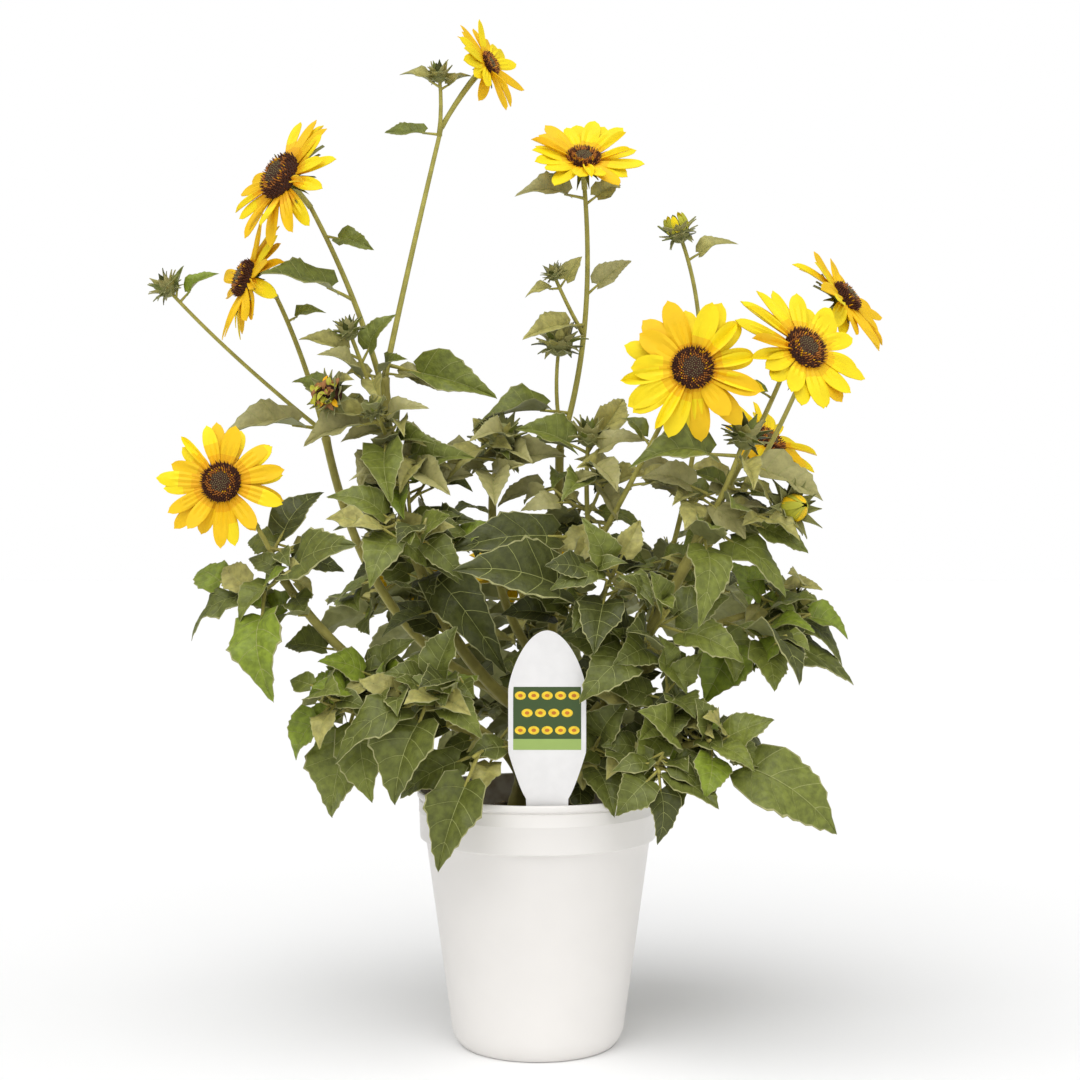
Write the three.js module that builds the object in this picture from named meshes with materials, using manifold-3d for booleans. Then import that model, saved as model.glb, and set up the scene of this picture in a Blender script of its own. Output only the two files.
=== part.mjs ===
// A branching sunflower in a white nursery pot. Millimetres, +Z up, front towards -Y
import * as THREE from 'three';
import { mergeVertices } from 'three/addons/utils/BufferGeometryUtils.js';
import Module from 'manifold-3d';

const library = await Module();
library.setup();

// Driving dimensions of the pot, its soil and its label
const POT = {
  height: 172,
  rimDiameter: 165,
  collarDiameter: 161,
  neckDiameter: 153,
  heelDiameter: 119,
  heelHeight: 16,
  footDiameter: 107,
  collarHeight: 32,
  rimHeight: 7,
  wall: 2.2,
  floor: 3,
  facets: 24,
  notches: 6,
  notchWidth: 22,
  notchHeight: 2.4,
  notchDepth: 9,
};
const SOIL = { top: 158, edge: 151, flatRadius: 34 };
const LABEL = {
  width: 50,
  footWidth: 27,
  top: 284,
  shoulder: 245.6,
  domeRise: 19.5,
  domeDraw: 5.5,
  domeFlat: 13,
  waist: 206,
  foot: 161,
  footChamfer: 3,
  footLength: 14,
  waistChamfer: 5,
  thickness: 0.8,
  offset: 6,
};

// Driving dimensions of the plant
const GAP = 0.3;
const WELD = 0.002;
const MASS_SEED = 11;
const BLOOM_SEED = 401;
const ROOT_FLARE = { swell: 0.6, fade: 14 };
const PETIOLE = 2.2;
const SMALL_LEAF = 46;
const LARGE_LEAF = 72;
const OWN_REACH = 5;
const TWIG_TAPER = 0.8;

// A leaf, in shares of its reach: where its petiole ends, where it is widest and where it
// narrows, and the thinness of its blade. The rest is the spread that the seeded rule draws
// from, and how far a face turns outwards and to the front or back
const LEAF = {
  knee: 0.28,
  widest: 0.44,
  waist: 0.7,
  waistWidth: 0.72,
  thinness: 0.02,
  leastThickness: 1,
  breadth: [0.66, 0.88],
  droop: [0.06, 0.22],
  turn: [-0.3, 0.3],
  outwards: 0.6,
  frontwards: -0.85,
  backwards: 0.3,
  backStarts: 50,
};
const RULE_LEAF = { share: [0.15, 0.95], turn: 137.5, rise: [-20, 30], reach: [34, 60] };
const PETAL = {
  fewest: 12,
  width: 13.5,
  thickness: 1.4,
  widest: 0.58,
  droop: 0.1,
  root: 7,
  reach: [0.9, 1.04],
  tilt: [-0.12, 0.1],
  scatter: 0.15,
};
const DISC = { sides: 10, thickness: 8, back: 0.62, seat: 0.3 };
const NECK = { thick: [3.4, 4.4], sides: 3, rise: 0.12, dip: -2 };
const BUD = { head: 0.85, sink: 0.2, lift: 0.4, bractReach: 1.5, bracts: 5, width: 6, thickness: 2 };
const BRACT_LEAN = [0.35, 1.1];

// The main stem and its boughs: where each one starts on its parent, its tip, how far its
// middle bows out of the straight line, and its thickness at foot and tip
const BOUGHS = {
  main_stem: { foot: [-15, 4, 150], tip: [10, 8, 255], bow: [0, 0, 0], thick: [13, 9.5] },
  bough_right: { on: 'main_stem', at: 0.3, tip: [107, -45, 345], bow: [-6, -16, -52], thick: [9, 6.4] },
  bough_mid_right: { on: 'main_stem', at: 1, tip: [35, -12, 337], bow: [2, 0, -17], thick: [8, 6.4] },
  bough_mid: { on: 'main_stem', at: 0.86, tip: [15, 20, 405], bow: [4, 16, -3], thick: [7, 5.6] },
  bough_centre_left: { on: 'main_stem', at: 0.95, tip: [-31, 15, 382], bow: [-26, 4, -24], thick: [6.6, 5.2] },
  bough_tall_left: { on: 'main_stem', at: 0.62, tip: [-105, 0, 453], bow: [-44, -24, -52], thick: [8.4, 6] },
  bough_left: { on: 'main_stem', at: 0.76, tip: [-149, 30, 414], bow: [-44, 26, -74], thick: [7.4, 5.4] },
  bough_far_left: { on: 'main_stem', at: 0.42, tip: [-166, -55, 316], bow: [-30, -26, -20], thick: [7.6, 5.4] },
  bough_low_left: { on: 'main_stem', at: 0.2, tip: [-63, -75, 236], bow: [22, -16, 5], thick: [7, 5] },
  bough_low_right: { on: 'main_stem', at: 0.26, tip: [105, -70, 212], bow: [34, -34, 10], thick: [7.6, 5] },
  bough_side_right: { on: 'bough_right', at: 0.6, tip: [152, -10, 293], bow: [18, 0, 17], thick: [5.6, 4.4] },
  bough_back_left: { on: 'main_stem', at: 0.66, tip: [-74, 108, 284], bow: [-10, 6, -22], thick: [7, 5] },
  bough_back_right: { on: 'main_stem', at: 0.8, tip: [76, 112, 286], bow: [10, 6, -22], thick: [7, 5] },
  bough_back: { on: 'main_stem', at: 0.46, tip: [-4, 118, 250], bow: [0, 10, -16], thick: [6.4, 4.6] },
};

// The masses of foliage. A mass is one stem with side twigs, each with its leaves as
// [share along the twig, heading, rise, reach], a count of smaller leaves that the seeded
// rule adds, and the radius of a bud at its tip
const MASSES = {
  stalk_top: {
    on: 'bough_tall_left', at: 1, tip: [-67, 15, 628], bow: [-4, -5, -14], thick: [4.8, 3.4],
    leaves: [[0.06, 344, -14, 80], [0.02, 330, -5, 34], [0.975, 194, 4, 38]],
    twigs: { top_bud: { at: 0.97, tip: [-68, 12, 660], bow: [2, -2, 3], bud: 7,
      leaves: [[0.85, 196, 29, 28], [0.8, 21, 36, 26]] } },
  },
  stalk_tall_left: {
    on: 'bough_tall_left', at: 0.95, tip: [-153, -20, 566], bow: [8, 6, 3], thick: [4.8, 3.4],
    leaves: [[0.85, 332, -12, 37], [0.52, 205, 21, 68]],
  },
  fork_shoot: {
    on: 'bough_tall_left', at: 0.86, tip: [-125, -25, 478], bow: [-2, -6, 9], thick: [3.8, 3], bud: 8,
    leaves: [[0.7, 322, 57, 40], [0.75, 191, 26, 42], [0.5, 232, 28, 48]],
    twigs: { spent: { at: 0.3, tip: [-133, -44, 436], bow: [2, -2, -3], bud: 10.5 } },
  },
  fork_front: {
    on: 'bough_tall_left', at: 0.78, tip: [-107, -45, 426], bow: [3, 10, 4], thick: [4, 3], bud: 6,
    leaves: [[0.9, 324, 16, 37], [0.6, 271, -30, 65], [0.85, 192, -9, 52], [0.5, 310, 7, 40],
      [0.95, 269, 19, 35]],
  },
  stalk_left: {
    on: 'bough_left', at: 1, tip: [-183, 25, 512], bow: [3, 1, 7], thick: [4.4, 3.4],
    leaves: [[0.05, 201, 8, 76], [0.8, 329, 24, 28], [0.08, 308, 15, 39]],
    twigs: { bud_left: { at: 0.03, tip: [-254, 14, 513], bow: [-12, -1, 4], bud: 10,
      leaves: [[0.93, 335, 42, 34], [0.96, 300, 76, 23]] } },
  },
  stalk_far_left: {
    on: 'bough_far_left', at: 1, tip: [-182, -62, 350], bow: [2, -3, 0], thick: [4.4, 3.4],
    leaves: [[0.5, 24, 63, 54], [0.45, 341, -4, 47]],
    twigs: { edge: { at: 0.1, tip: [-184, -66, 306], bow: [0, 0, -4],
      leaves: [[0.9, 159, 36, 34], [0.8, 314, 41, 30], [0.5, 176, -17, 62], [0.6, 270, -49, 74],
        [0.3, 339, 25, 80]] } },
  },
  foliage_left: {
    on: 'bough_far_left', at: 0.56, tip: [-120, -70, 231], bow: [0, -4, 0], thick: [3.8, 2.8],
    leaves: [[0.9, 172, -14, 39], [0.8, 205, -58, 74], [0.7, 282, -55, 67], [0.4, 208, 35, 30],
      [0.3, 332, 50, 45], [0.6, 339, 7, 42], [0.5, 120, 10, 52]],
  },
  foliage_low_left: {
    on: 'bough_low_left', at: 1, tip: [-72, -86, 248], bow: [0, 0, 2], thick: [4, 3],
    leaves: [[0.5, 207, -19, 71], [0.7, 342, 70, 45], [0.5, 316, -10, 31], [0.9, 217, 21, 24],
      [0.8, 100, 45, 38], [0.6, 217, -57, 73]],
  },
  foliage_rim_left: {
    on: 'bough_low_left', at: 0.5, tip: [-41, -85, 204], bow: [0, -4, 3], thick: [3.6, 2.6],
    leaves: [[0.8, 234, -54, 76], [0.6, 188, -21, 61]],
  },
  foliage_centre_front: {
    on: 'bough_tall_left', at: 0.6, tip: [-91, -60, 355], bow: [8, -6, -12], thick: [4, 3],
    leaves: [[0.9, 212, 34, 50], [0.85, 250, -21, 56], [0.1, 318, -38, 96],
      [0.6, 301, 26, 46], [0.3, 218, -12, 48]],
    twigs: { inner: { at: 0.25, tip: [-88, -27, 398], bow: [-2, 0, 0],
      leaves: [[0.8, 349, 26, 45], [0.9, 306, -15, 46], [0.6, 150, 20, 40]] } },
    rule: 1,
  },
  foliage_centre_left: {
    on: 'bough_centre_left', at: 1, tip: [-26, 4, 407], bow: [0, 0, 0], thick: [4, 3.2], bud: 12,
    leaves: [[0.3, 208, 2, 30], [0.5, 331, 9, 52], [0.6, 206, 6, 54], [0.3, 268, -12, 59],
      [0.8, 168, 55, 32], [0.6, 80, 10, 50]],
  },
  foliage_mid_right: {
    on: 'bough_mid_right', at: 1, tip: [34, -15, 407], bow: [-3, -1, 5], thick: [4, 3.2], bud: 10,
    leaves: [[0.08, 209, 3, 98], [0.9, 35, 50, 55], [0.9, 187, 28, 50], [0.85, 328, 26, 43],
      [0.8, 292, -11, 55], [0.6, 253, 0, 37]],
    twigs: { upper: { at: 0.3, tip: [44, 26, 382], bow: [2, 6, -3], bud: 8,
      leaves: [[0.7, 60, 10, 46], [0.9, 350, 20, 38]] } },
  },
  stalk_mid_right: {
    on: 'bough_mid_right', at: 0.9, tip: [85, -50, 426], bow: [-2, -9, -6], thick: [4.6, 3.4],
    leaves: [[0.8, 145, 51, 30], [0.55, 340, 10, 42]],
  },
  stalk_mid: {
    on: 'bough_mid', at: 1, tip: [32, 0, 582], bow: [17, 4, -12], thick: [4.8, 3.4],
    leaves: [[0.97, 197, 10, 47], [0.95, 28, 38, 38], [0.63, 345, 42, 38], [0.52, 196, -8, 54],
      [0.16, 190, -6, 66]],
    twigs: {
      high: { at: 0.48, tip: [12, 0, 521], bow: [0, 0, -3], bud: 6,
        leaves: [[0.85, 196, -5, 24], [0.85, 336, 54, 26]] },
      low: { at: 0.04, tip: [14, 6, 471], bow: [-5, -4, -2], bud: 12 },
    },
  },
  foliage_centre: {
    on: 'bough_mid_right', at: 0.45, tip: [52, -62, 328], bow: [5, -12, -10], thick: [4, 3],
    leaves: [[0.95, 213, -8, 48], [0.9, 300, -12, 45], [0.95, 345, 60, 33], [0.8, 241, 42, 44],
      [0.5, 212, 20, 100], [0.7, 260, -30, 60]],
    rule: 2,
  },
  stalk_right_front: {
    on: 'bough_right', at: 1, tip: [134, -50, 404], bow: [1, -5, -5], thick: [4.4, 3.4], bud: 11,
    leaves: [[0.06, 272, -30, 76], [0.14, 336, -32, 69], [0.9, 200, 3, 71], [0.88, 285, -17, 43],
      [0.85, 356, -16, 62]],
    twigs: {
      edge: { at: 0.06, tip: [163, -46, 362], bow: [9, -7, 3], bud: 11,
        leaves: [[0.4, 344, -20, 47], [0.8, 243, 50, 30], [0.3, 63, 24, 54]] },
      inner: { at: 0.04, tip: [100, -32, 386], bow: [-2, 2, 2],
        leaves: [[0.8, 214, 23, 41], [0.5, 172, 38, 38], [0.6, 238, 0, 34]] },
    },
  },
  stalk_right_high: {
    on: 'bough_right', at: 0.92, tip: [163, -33, 452], bow: [14, 22, 14], thick: [4.6, 3.4],
    leaves: [[0.85, 148, 36, 28]],
  },
  stalk_right_far: {
    on: 'bough_right', at: 0.8, tip: [203, 42, 500], bow: [24, 20, -2], thick: [4.6, 3.2],
    leaves: [[0.45, 70, 20, 46], [0.3, 130, -5, 56]],
    twigs: { low_bloom: { at: 0.32, tip: [158, 52, 396], bow: [-2, 4, -6] } },
  },
  stalk_bud_high: {
    on: 'bough_right', at: 0.7, tip: [99, 8, 549], bow: [52, 42, 40], thick: [4.2, 3], bud: 9.5,
    leaves: [[0.93, 341, 32, 34], [0.2, 100, -20, 44], [0.16, 150, -10, 46]],
  },
  foliage_side_bud: {
    on: 'bough_side_right', at: 1, tip: [171, -2, 298], bow: [0, 0, 0], thick: [3.6, 3], bud: 9,
    leaves: [[0.6, 343, -21, 54], [0.4, 200, 47, 46], [0.5, 60, 10, 58]],
  },
  foliage_side: {
    on: 'bough_side_right', at: 0.62, tip: [148, -38, 279], bow: [0, 0, 0], thick: [3.6, 3],
    leaves: [[0.6, 337, -18, 84], [0.9, 284, -28, 50], [0.5, 298, -21, 76], [0.5, 223, -49, 53]],
  },
  foliage_right_inner: {
    on: 'bough_right', at: 0.5, tip: [84, -75, 297], bow: [0, 0, 0], thick: [4, 3],
    leaves: [[0.8, 341, 30, 51], [0.9, 310, 45, 40], [0.6, 275, 24, 48], [0.4, 190, 29, 50],
      [0.6, 230, -20, 60]],
    rule: 2,
  },
  foliage_low_inner: {
    on: 'bough_low_right', at: 0.6, tip: [84, -65, 249], bow: [2, 0, -5], thick: [3.8, 2.8],
    leaves: [[0.95, 254, 72, 36], [0.9, 333, 47, 34], [0.85, 297, -6, 36], [0.8, 196, 19, 40],
      [0.5, 245, -9, 36], [0.7, 60, 20, 50]],
    rule: 1,
  },
  foliage_low_right: {
    on: 'bough_low_right', at: 1, tip: [113, -81, 210], bow: [0, 0, 0], thick: [3.8, 3],
    leaves: [[0.6, 252, 57, 36], [0.7, 338, 27, 44], [0.5, 345, -28, 98], [0.8, 265, -37, 38],
      [0.8, 40, 10, 55]],
  },
  foliage_rim_right: {
    on: 'bough_low_right', at: 0.55, tip: [77, -92, 195], bow: [0, -4, 2], thick: [3.4, 2.6],
    leaves: [[0.6, 306, -17, 53], [0.9, 222, -30, 40], [0.9, 285, -66, 44]],
  },
  foliage_base: {
    on: 'main_stem', at: 0.12, tip: [40, -45, 210], bow: [14, -14, -6], thick: [3.8, 2.8],
    leaves: [[0.8, 291, -41, 48], [0.6, 275, -29, 40], [0.9, 306, 60, 44], [0.9, 324, -14, 44]],
  },
  foliage_back_left: {
    on: 'bough_back_left', at: 1, tip: [-88, 118, 306], bow: [-4, 8, 2], thick: [4.4, 3.2],
    leaves: [[0.1, 140, -20, 85], [0.3, 60, -10, 70], [0.5, 190, -5, 75], [0.8, 110, 20, 50]],
    twigs: { side: { at: 0.2, tip: [-136, 86, 302], bow: [-6, 6, -4],
      leaves: [[0.5, 180, -15, 64], [0.8, 230, 10, 56], [0.9, 110, 5, 60]] } },
    rule: 2,
  },
  foliage_back_right: {
    on: 'bough_back_right', at: 1, tip: [98, 124, 326], bow: [4, 8, 0], thick: [4.4, 3.2], bud: 9,
    leaves: [[0.1, 40, -20, 85], [0.3, 110, -10, 72], [0.6, 350, 0, 70], [0.85, 80, 20, 50]],
    twigs: { side: { at: 0.2, tip: [144, 90, 306], bow: [6, 6, -4],
      leaves: [[0.5, 30, -15, 56], [0.8, 310, 10, 50], [0.9, 70, 5, 60]] } },
    rule: 2,
  },
  foliage_back: {
    on: 'bough_back', at: 1, tip: [4, 140, 282], bow: [-2, 6, 2], thick: [4, 3],
    leaves: [[0.1, 250, -30, 60], [0.3, 130, -35, 80], [0.4, 60, -25, 78], [0.7, 95, 10, 60]],
    twigs: { upper: { at: 0.5, tip: [-14, 118, 304], bow: [-4, 0, 2],
      leaves: [[0.5, 100, 0, 62], [0.8, 170, 5, 55], [0.95, 40, 10, 55]] } },
    rule: 2,
  },
  foliage_back_low_left: {
    on: 'bough_back', at: 0.55, tip: [-58, 92, 214], bow: [-6, 4, -4], thick: [3.6, 2.8],
    leaves: [[0.5, 170, 0, 60], [0.8, 120, -48, 76], [0.9, 200, -20, 70], [0.9, 150, 25, 46]],
  },
  foliage_back_low_right: {
    on: 'bough_back', at: 0.45, tip: [56, 88, 214], bow: [6, 4, -6], thick: [3.6, 2.8],
    leaves: [[0.5, 20, 0, 60], [0.8, 70, -46, 76], [0.9, 335, -15, 70], [0.9, 40, 25, 46]],
  },
};

// The blooms: the twig that carries each one, the middle of its disc, the way that it
// faces, its radius to the petal tips, the disc's radius and the arc left bare of petals
const BLOOMS = {
  bloom_top: { on: 'stalk_top', centre: [-34, 18, 673], faces: [0.81, -0.46, 0.36], radius: 33, disc: 9 },
  bloom_tall_left: { on: 'stalk_tall_left', centre: [-170, -35, 583], faces: [-0.66, -0.64, 0.38],
    radius: 46, disc: 15.5, bare: [16, 72] },
  bloom_left: { on: 'stalk_left', centre: [-199, -5, 520], faces: [-0.86, -0.4, 0.32],
    radius: 43, disc: 14 },
  bloom_mid: { on: 'stalk_mid', centre: [31, -10, 601], faces: [0.05, -0.7, 0.7], radius: 40, disc: 12.5 },
  bloom_right_front: { on: 'stalk_mid_right', centre: [100, -70, 453], faces: [0, -1, 0.06],
    radius: 45, disc: 15 },
  bloom_right: { on: 'stalk_right_high', centre: [176, -46, 468], faces: [0.42, -0.8, 0.42],
    radius: 45, disc: 16 },
  bloom_right_high: { on: 'stalk_right_far', centre: [217, 40, 513], faces: [0.78, -0.24, 0.58],
    radius: 44, disc: 13 },
  bloom_right_low: { on: 'stalk_right_far/low_bloom', centre: [164, 44, 412], faces: [0.5, -0.5, 0.7],
    radius: 38, disc: 13 },
  bloom_far_left: { on: 'stalk_far_left', centre: [-203, -76, 379], faces: [-0.06, -1, 0.1],
    radius: 40, disc: 14 },
  bloom_back_left: { on: 'foliage_back_left', centre: [-98, 138, 322], faces: [-0.3, 0.8, 0.5],
    radius: 40, disc: 14 },
  bloom_back: { on: 'foliage_back/upper', centre: [-14, 136, 322], faces: [0.1, 0.9, 0.4],
    radius: 40, disc: 14 },
};

const COLOURS = {
  pot: [0xf3efec, 0.45],
  soil: [0x3a2a20, 0.95],
  label: [0xf6f4f2, 0.5],
  stem: [0x8a9350, 0.7],
  foliage: [0x55702c, 0.65],
  bloom: [0xf4cf1f, 0.6],
};

// Vectors as plain arrays
const add = (a, b, scale = 1) => a.map((value, i) => value + b[i] * scale);
const mix = (a, b, share) => a.map((value, i) => value + (b[i] - value) * share);
const dot = (a, b) => a[0] * b[0] + a[1] * b[1] + a[2] * b[2];
const length = (a) => Math.sqrt(dot(a, a));
const unit = (a) => a.map((value) => value / length(a));
const cross = (a, b) => [
  a[1] * b[2] - a[2] * b[1],
  a[2] * b[0] - a[0] * b[2],
  a[0] * b[1] - a[1] * b[0],
];
const radians = (degrees) => (degrees * Math.PI) / 180;

function direction(heading, rise) {
  const flat = Math.cos(radians(rise));
  return [flat * Math.cos(radians(heading)), flat * Math.sin(radians(heading)), Math.sin(radians(rise))];
}

// One stream of numbers from 0 to 1 for each seed, and a number between two others
function randomFrom(seed) {
  let state = seed;
  return () => {
    state = (state * 1664525 + 1013904223) % 4294967296;
    return state / 4294967296;
  };
}

const between = ([low, high], random) => low + (high - low) * random();

// A geometry becomes a solid once it has shared vertices and nothing but positions
function toSolid(geometry, weld = 1e-4) {
  geometry.deleteAttribute('normal');
  geometry.deleteAttribute('uv');
  const merged = mergeVertices(geometry, weld);
  return new library.Manifold(new library.Mesh({
    numProp: 3,
    vertProperties: new Float32Array(merged.attributes.position.array),
    triVerts: new Uint32Array(merged.index.array),
  }));
}

function toGeometry(solid) {
  const mesh = solid.getMesh();
  const geometry = new THREE.BufferGeometry();
  geometry.setAttribute('position', new THREE.BufferAttribute(mesh.vertProperties, 3));
  geometry.setIndex(new THREE.BufferAttribute(mesh.triVerts, 1));
  geometry.computeVertexNormals();
  return geometry;
}

function reshape(geometry, place) {
  const positions = geometry.attributes.position;
  for (let i = 0; i < positions.count; i += 1) {
    positions.setXYZ(i, ...place(positions.getX(i), positions.getY(i), positions.getZ(i)));
  }
  return toSolid(geometry);
}

// The largest body of a solid: scraps are dropped, and a hollow sealed inside is filled.
// It is taken again once points closer than the weld are one, as a thread may part there
function largest(solid) {
  const bodies = solid.decompose();
  return bodies.reduce((best, body) => (body.volume() > best.volume() ? body : best));
}

function mainBody(solid) {
  return largest(toSolid(toGeometry(largest(solid)), WELD));
}

// A limb is a curve from its foot to its tip, bowed at its middle, with a taper
function limbCurve(foot, tip, bow) {
  const middle = add(mix(foot, tip, 0.5), bow);
  return {
    point: (t) => mix(mix(foot, middle, t), mix(middle, tip, t), t),
    heading: (t) => unit(add(mix(middle, tip, t), mix(foot, middle, t), -1)),
  };
}

function limbSolid(curve, thick, sides, segments, grow = 0, flare = 0) {
  const lean = curve.heading(0.5);
  const reference = Math.abs(lean[1]) < 0.8 ? [0, 1, 0] : [1, 0, 0];
  const tube = new THREE.CylinderGeometry(1, 1, 1, sides, segments);
  return reshape(tube, (x, y, z) => {
    const t = y + 0.5;
    const along = curve.heading(t);
    const across = unit(cross(along, reference));
    const other = cross(across, along);
    const swell = 1 + flare * Math.exp(-t * ROOT_FLARE.fade);
    const radius = ((thick[0] + (thick[1] - thick[0]) * t) / 2) * swell + grow;
    const end = add(curve.point(t), along, y > 0.49 ? grow : 0);
    return add(add(end, across, x * radius), other, z * radius);
  });
}

// A leaf, petal or bract: a closed three-sided blade through rings of [share, width,
// thickness] that ends in a point and curls down towards its tip
function bladeSolid(base, forward, normal, shape, grow = 0) {
  const side = unit(cross(forward, normal));
  const up = cross(side, forward);
  const count = shape.rings.length;
  return reshape(new THREE.CylinderGeometry(0, count, count, 3, count), (x, y, z) => {
    const ring = Math.round(y + count / 2);
    const tip = ring === count;
    const [share, width, thickness] = tip ? [1, 0, 0] : shape.rings[ring];
    const half = tip ? 0 : Math.sign(Math.round(x * 9)) * (width / 2 + grow);
    const height = z > 0 ? thickness + grow : -grow;
    const sag = shape.droop * shape.length * share * share;
    const spine = add(base, forward, shape.length * share + (tip ? grow : 0));
    return add(add(spine, side, half), up, (tip ? 0 : height) - sag);
  });
}

// A petal: a thin closed body of eight faces, widest past its middle
function petalSolid(root, forward, normal, reach) {
  const side = unit(cross(forward, normal));
  const up = cross(side, forward);
  return reshape(new THREE.OctahedronGeometry(1, 0), (x, y, z) => {
    const share = y < -0.5 ? 0 : y > 0.5 ? 1 : PETAL.widest;
    const spine = add(add(root, forward, reach * share), up, -PETAL.droop * reach * share * share);
    return add(add(spine, side, (x * PETAL.width) / 2), up, (z * PETAL.thickness) / 2);
  });
}

// A leaf on its petiole, its face turned up, outwards and a little to the front
function leafSolid(leaf, start, grow = 0) {
  const forward = direction(leaf.heading, leaf.rise);
  const middle = add(start, forward, leaf.reach / 2);
  const outwards = unit([middle[0], middle[1], 0]);
  const facing = [0, middle[1] < LEAF.backStarts ? LEAF.frontwards : LEAF.backwards, 0];
  const normal = add(add(add([0, 0, 1], outwards, LEAF.outwards), facing), leaf.turn);
  const width = leaf.reach * (1 - LEAF.knee) * leaf.breadth;
  const thickness = Math.max(LEAF.leastThickness, leaf.reach * LEAF.thinness);
  const rings = [[0, PETIOLE, PETIOLE], [LEAF.widest, width, thickness]];
  if (leaf.reach > SMALL_LEAF) {
    rings.splice(1, 0, [LEAF.knee, PETIOLE, thickness]);
  }
  if (leaf.reach > LARGE_LEAF) {
    rings.push([LEAF.waist, width * LEAF.waistWidth, thickness]);
  }
  return bladeSolid(start, forward, normal, { length: leaf.reach, rings, droop: leaf.droop }, grow);
}

// A bud: a round head with pointed bracts around it
function budSolids(centre, facing, radius) {
  const across = unit(cross(facing, Math.abs(facing[2]) < 0.9 ? [0, 0, 1] : [1, 0, 0]));
  const other = cross(across, facing);
  const head = reshape(new THREE.OctahedronGeometry(radius * BUD.head, 0), (x, y, z) =>
    add(add(add(centre, other, x), across, y), facing, z));
  const root = add(centre, facing, -radius * BUD.sink);
  const bract = { length: radius * BUD.bractReach, rings: [[0, BUD.width, BUD.thickness]], droop: 0 };
  const bracts = Array.from({ length: BUD.bracts }, (_, i) => {
    const angle = (i * 2 * Math.PI) / BUD.bracts;
    const out = add(across.map((v) => v * Math.cos(angle)), other, Math.sin(angle));
    return bladeSolid(root, unit(add(out, facing, BRACT_LEAN[i % 2])), facing, bract);
  });
  return [head, ...bracts];
}

// Everything built so far, and the bare stems of every mass, so that all keep clear of each other
const placed = [];
const stems = {};
const grownLimbs = [];

const withBox = (name, solid) => ({ name, solid, box: solid.boundingBox() });

function apart(a, b) {
  return [0, 1, 2].some((i) => a.min[i] > b.max[i] || b.min[i] > a.max[i]);
}

function isClear(solid, ownName) {
  const box = solid.boundingBox();
  const others = Object.values(stems).flat().filter((stem) => stem.name !== ownName);
  return [...placed, ...others].every((other) =>
    apart(box, other.box) || solid.intersect(other.solid).isEmpty());
}

function cutClear(solid) {
  const trimmed = grownLimbs.reduce((rest, grown) => rest.subtract(grown), solid);
  return mainBody(trimmed);
}

// The pot: a tapered wall under a deep collar, with a flat foot notched for drainage
function lathe(profile, segments) {
  const points = profile.map(([radius, height]) => new THREE.Vector2(radius, height));
  const turned = new THREE.LatheGeometry(points, segments);
  turned.rotateX(Math.PI / 2);
  return toSolid(turned);
}

function makePot() {
  const rim = POT.rimDiameter / 2;
  const collar = POT.collarDiameter / 2;
  const neck = POT.neckDiameter / 2;
  const heel = POT.heelDiameter / 2;
  const foot = POT.footDiameter / 2;
  const step = POT.height - POT.collarHeight;
  const groove = POT.height - POT.rimHeight;
  const wall = POT.wall;
  const profile = [
    [0, 0], [foot - 0.5, 0], [foot + 2, 3], [heel - 1.6, POT.heelHeight / 2], [heel, POT.heelHeight],
    [neck, step - 1.5], [collar, step], [rim - 1, groove], [rim, groove + 1], [rim, POT.height],
    [rim - wall, POT.height], [rim - wall - 0.6, groove], [neck - wall, step - 4],
    [heel - wall, POT.heelHeight], [foot - wall, POT.floor], [0, POT.floor],
  ];
  let pot = lathe(profile, POT.facets);
  for (let i = 0; i < POT.notches; i += 1) {
    const notch = new THREE.BoxGeometry(POT.notchWidth, POT.notchDepth, POT.notchHeight * 2);
    notch.translate(0, -foot, 0);
    notch.rotateZ((i * 2 * Math.PI) / POT.notches);
    pot = pot.subtract(toSolid(notch));
  }
  return pot;
}

function makeSoil() {
  const step = POT.height - POT.collarHeight;
  const wall = POT.wall + GAP;
  const foot = POT.footDiameter / 2;
  const heel = POT.heelDiameter / 2;
  const neck = POT.neckDiameter / 2;
  return lathe([
    [0, POT.floor + GAP], [foot - wall, POT.floor + GAP], [heel - wall, POT.heelHeight],
    [neck - wall, step - 4], [neck - wall + 0.6, SOIL.edge], [SOIL.flatRadius, SOIL.top],
    [0, SOIL.top],
  ], POT.facets);
}

// The plant label: a domed plate that narrows to a foot behind the rim
function makeLabel() {
  const half = LABEL.width / 2;
  const foot = LABEL.footWidth / 2;
  const outline = new THREE.Shape();
  outline.moveTo(-foot + LABEL.footChamfer, LABEL.foot);
  outline.lineTo(foot - LABEL.footChamfer, LABEL.foot);
  outline.lineTo(foot, LABEL.foot + LABEL.footLength);
  outline.lineTo(half - LABEL.footChamfer, LABEL.waist - LABEL.waistChamfer);
  outline.lineTo(half, LABEL.waist);
  outline.lineTo(half, LABEL.shoulder);
  const { domeRise, domeFlat, top } = LABEL;
  const hip = half - LABEL.domeDraw;
  outline.bezierCurveTo(hip, LABEL.shoulder + domeRise, domeFlat, top, 0, top);
  outline.bezierCurveTo(-domeFlat, top, -hip, LABEL.shoulder + domeRise, -half, LABEL.shoulder);
  outline.lineTo(-half, LABEL.waist);
  outline.lineTo(-half + LABEL.footChamfer, LABEL.waist - LABEL.waistChamfer);
  outline.lineTo(-foot, LABEL.foot + LABEL.footLength);
  const plate = new THREE.ExtrudeGeometry(outline, {
    depth: LABEL.thickness,
    bevelEnabled: false,
    curveSegments: 8,
  });
  plate.rotateX(Math.PI / 2);
  const inner = (POT.rimDiameter / 2 - POT.wall - 0.6) * Math.cos(Math.PI / POT.facets);
  const setback = Math.sqrt(inner * inner - (foot + LABEL.offset) ** 2);
  plate.translate(LABEL.offset, -setback + LABEL.thickness + GAP, 0);
  return toSolid(plate);
}

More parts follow.
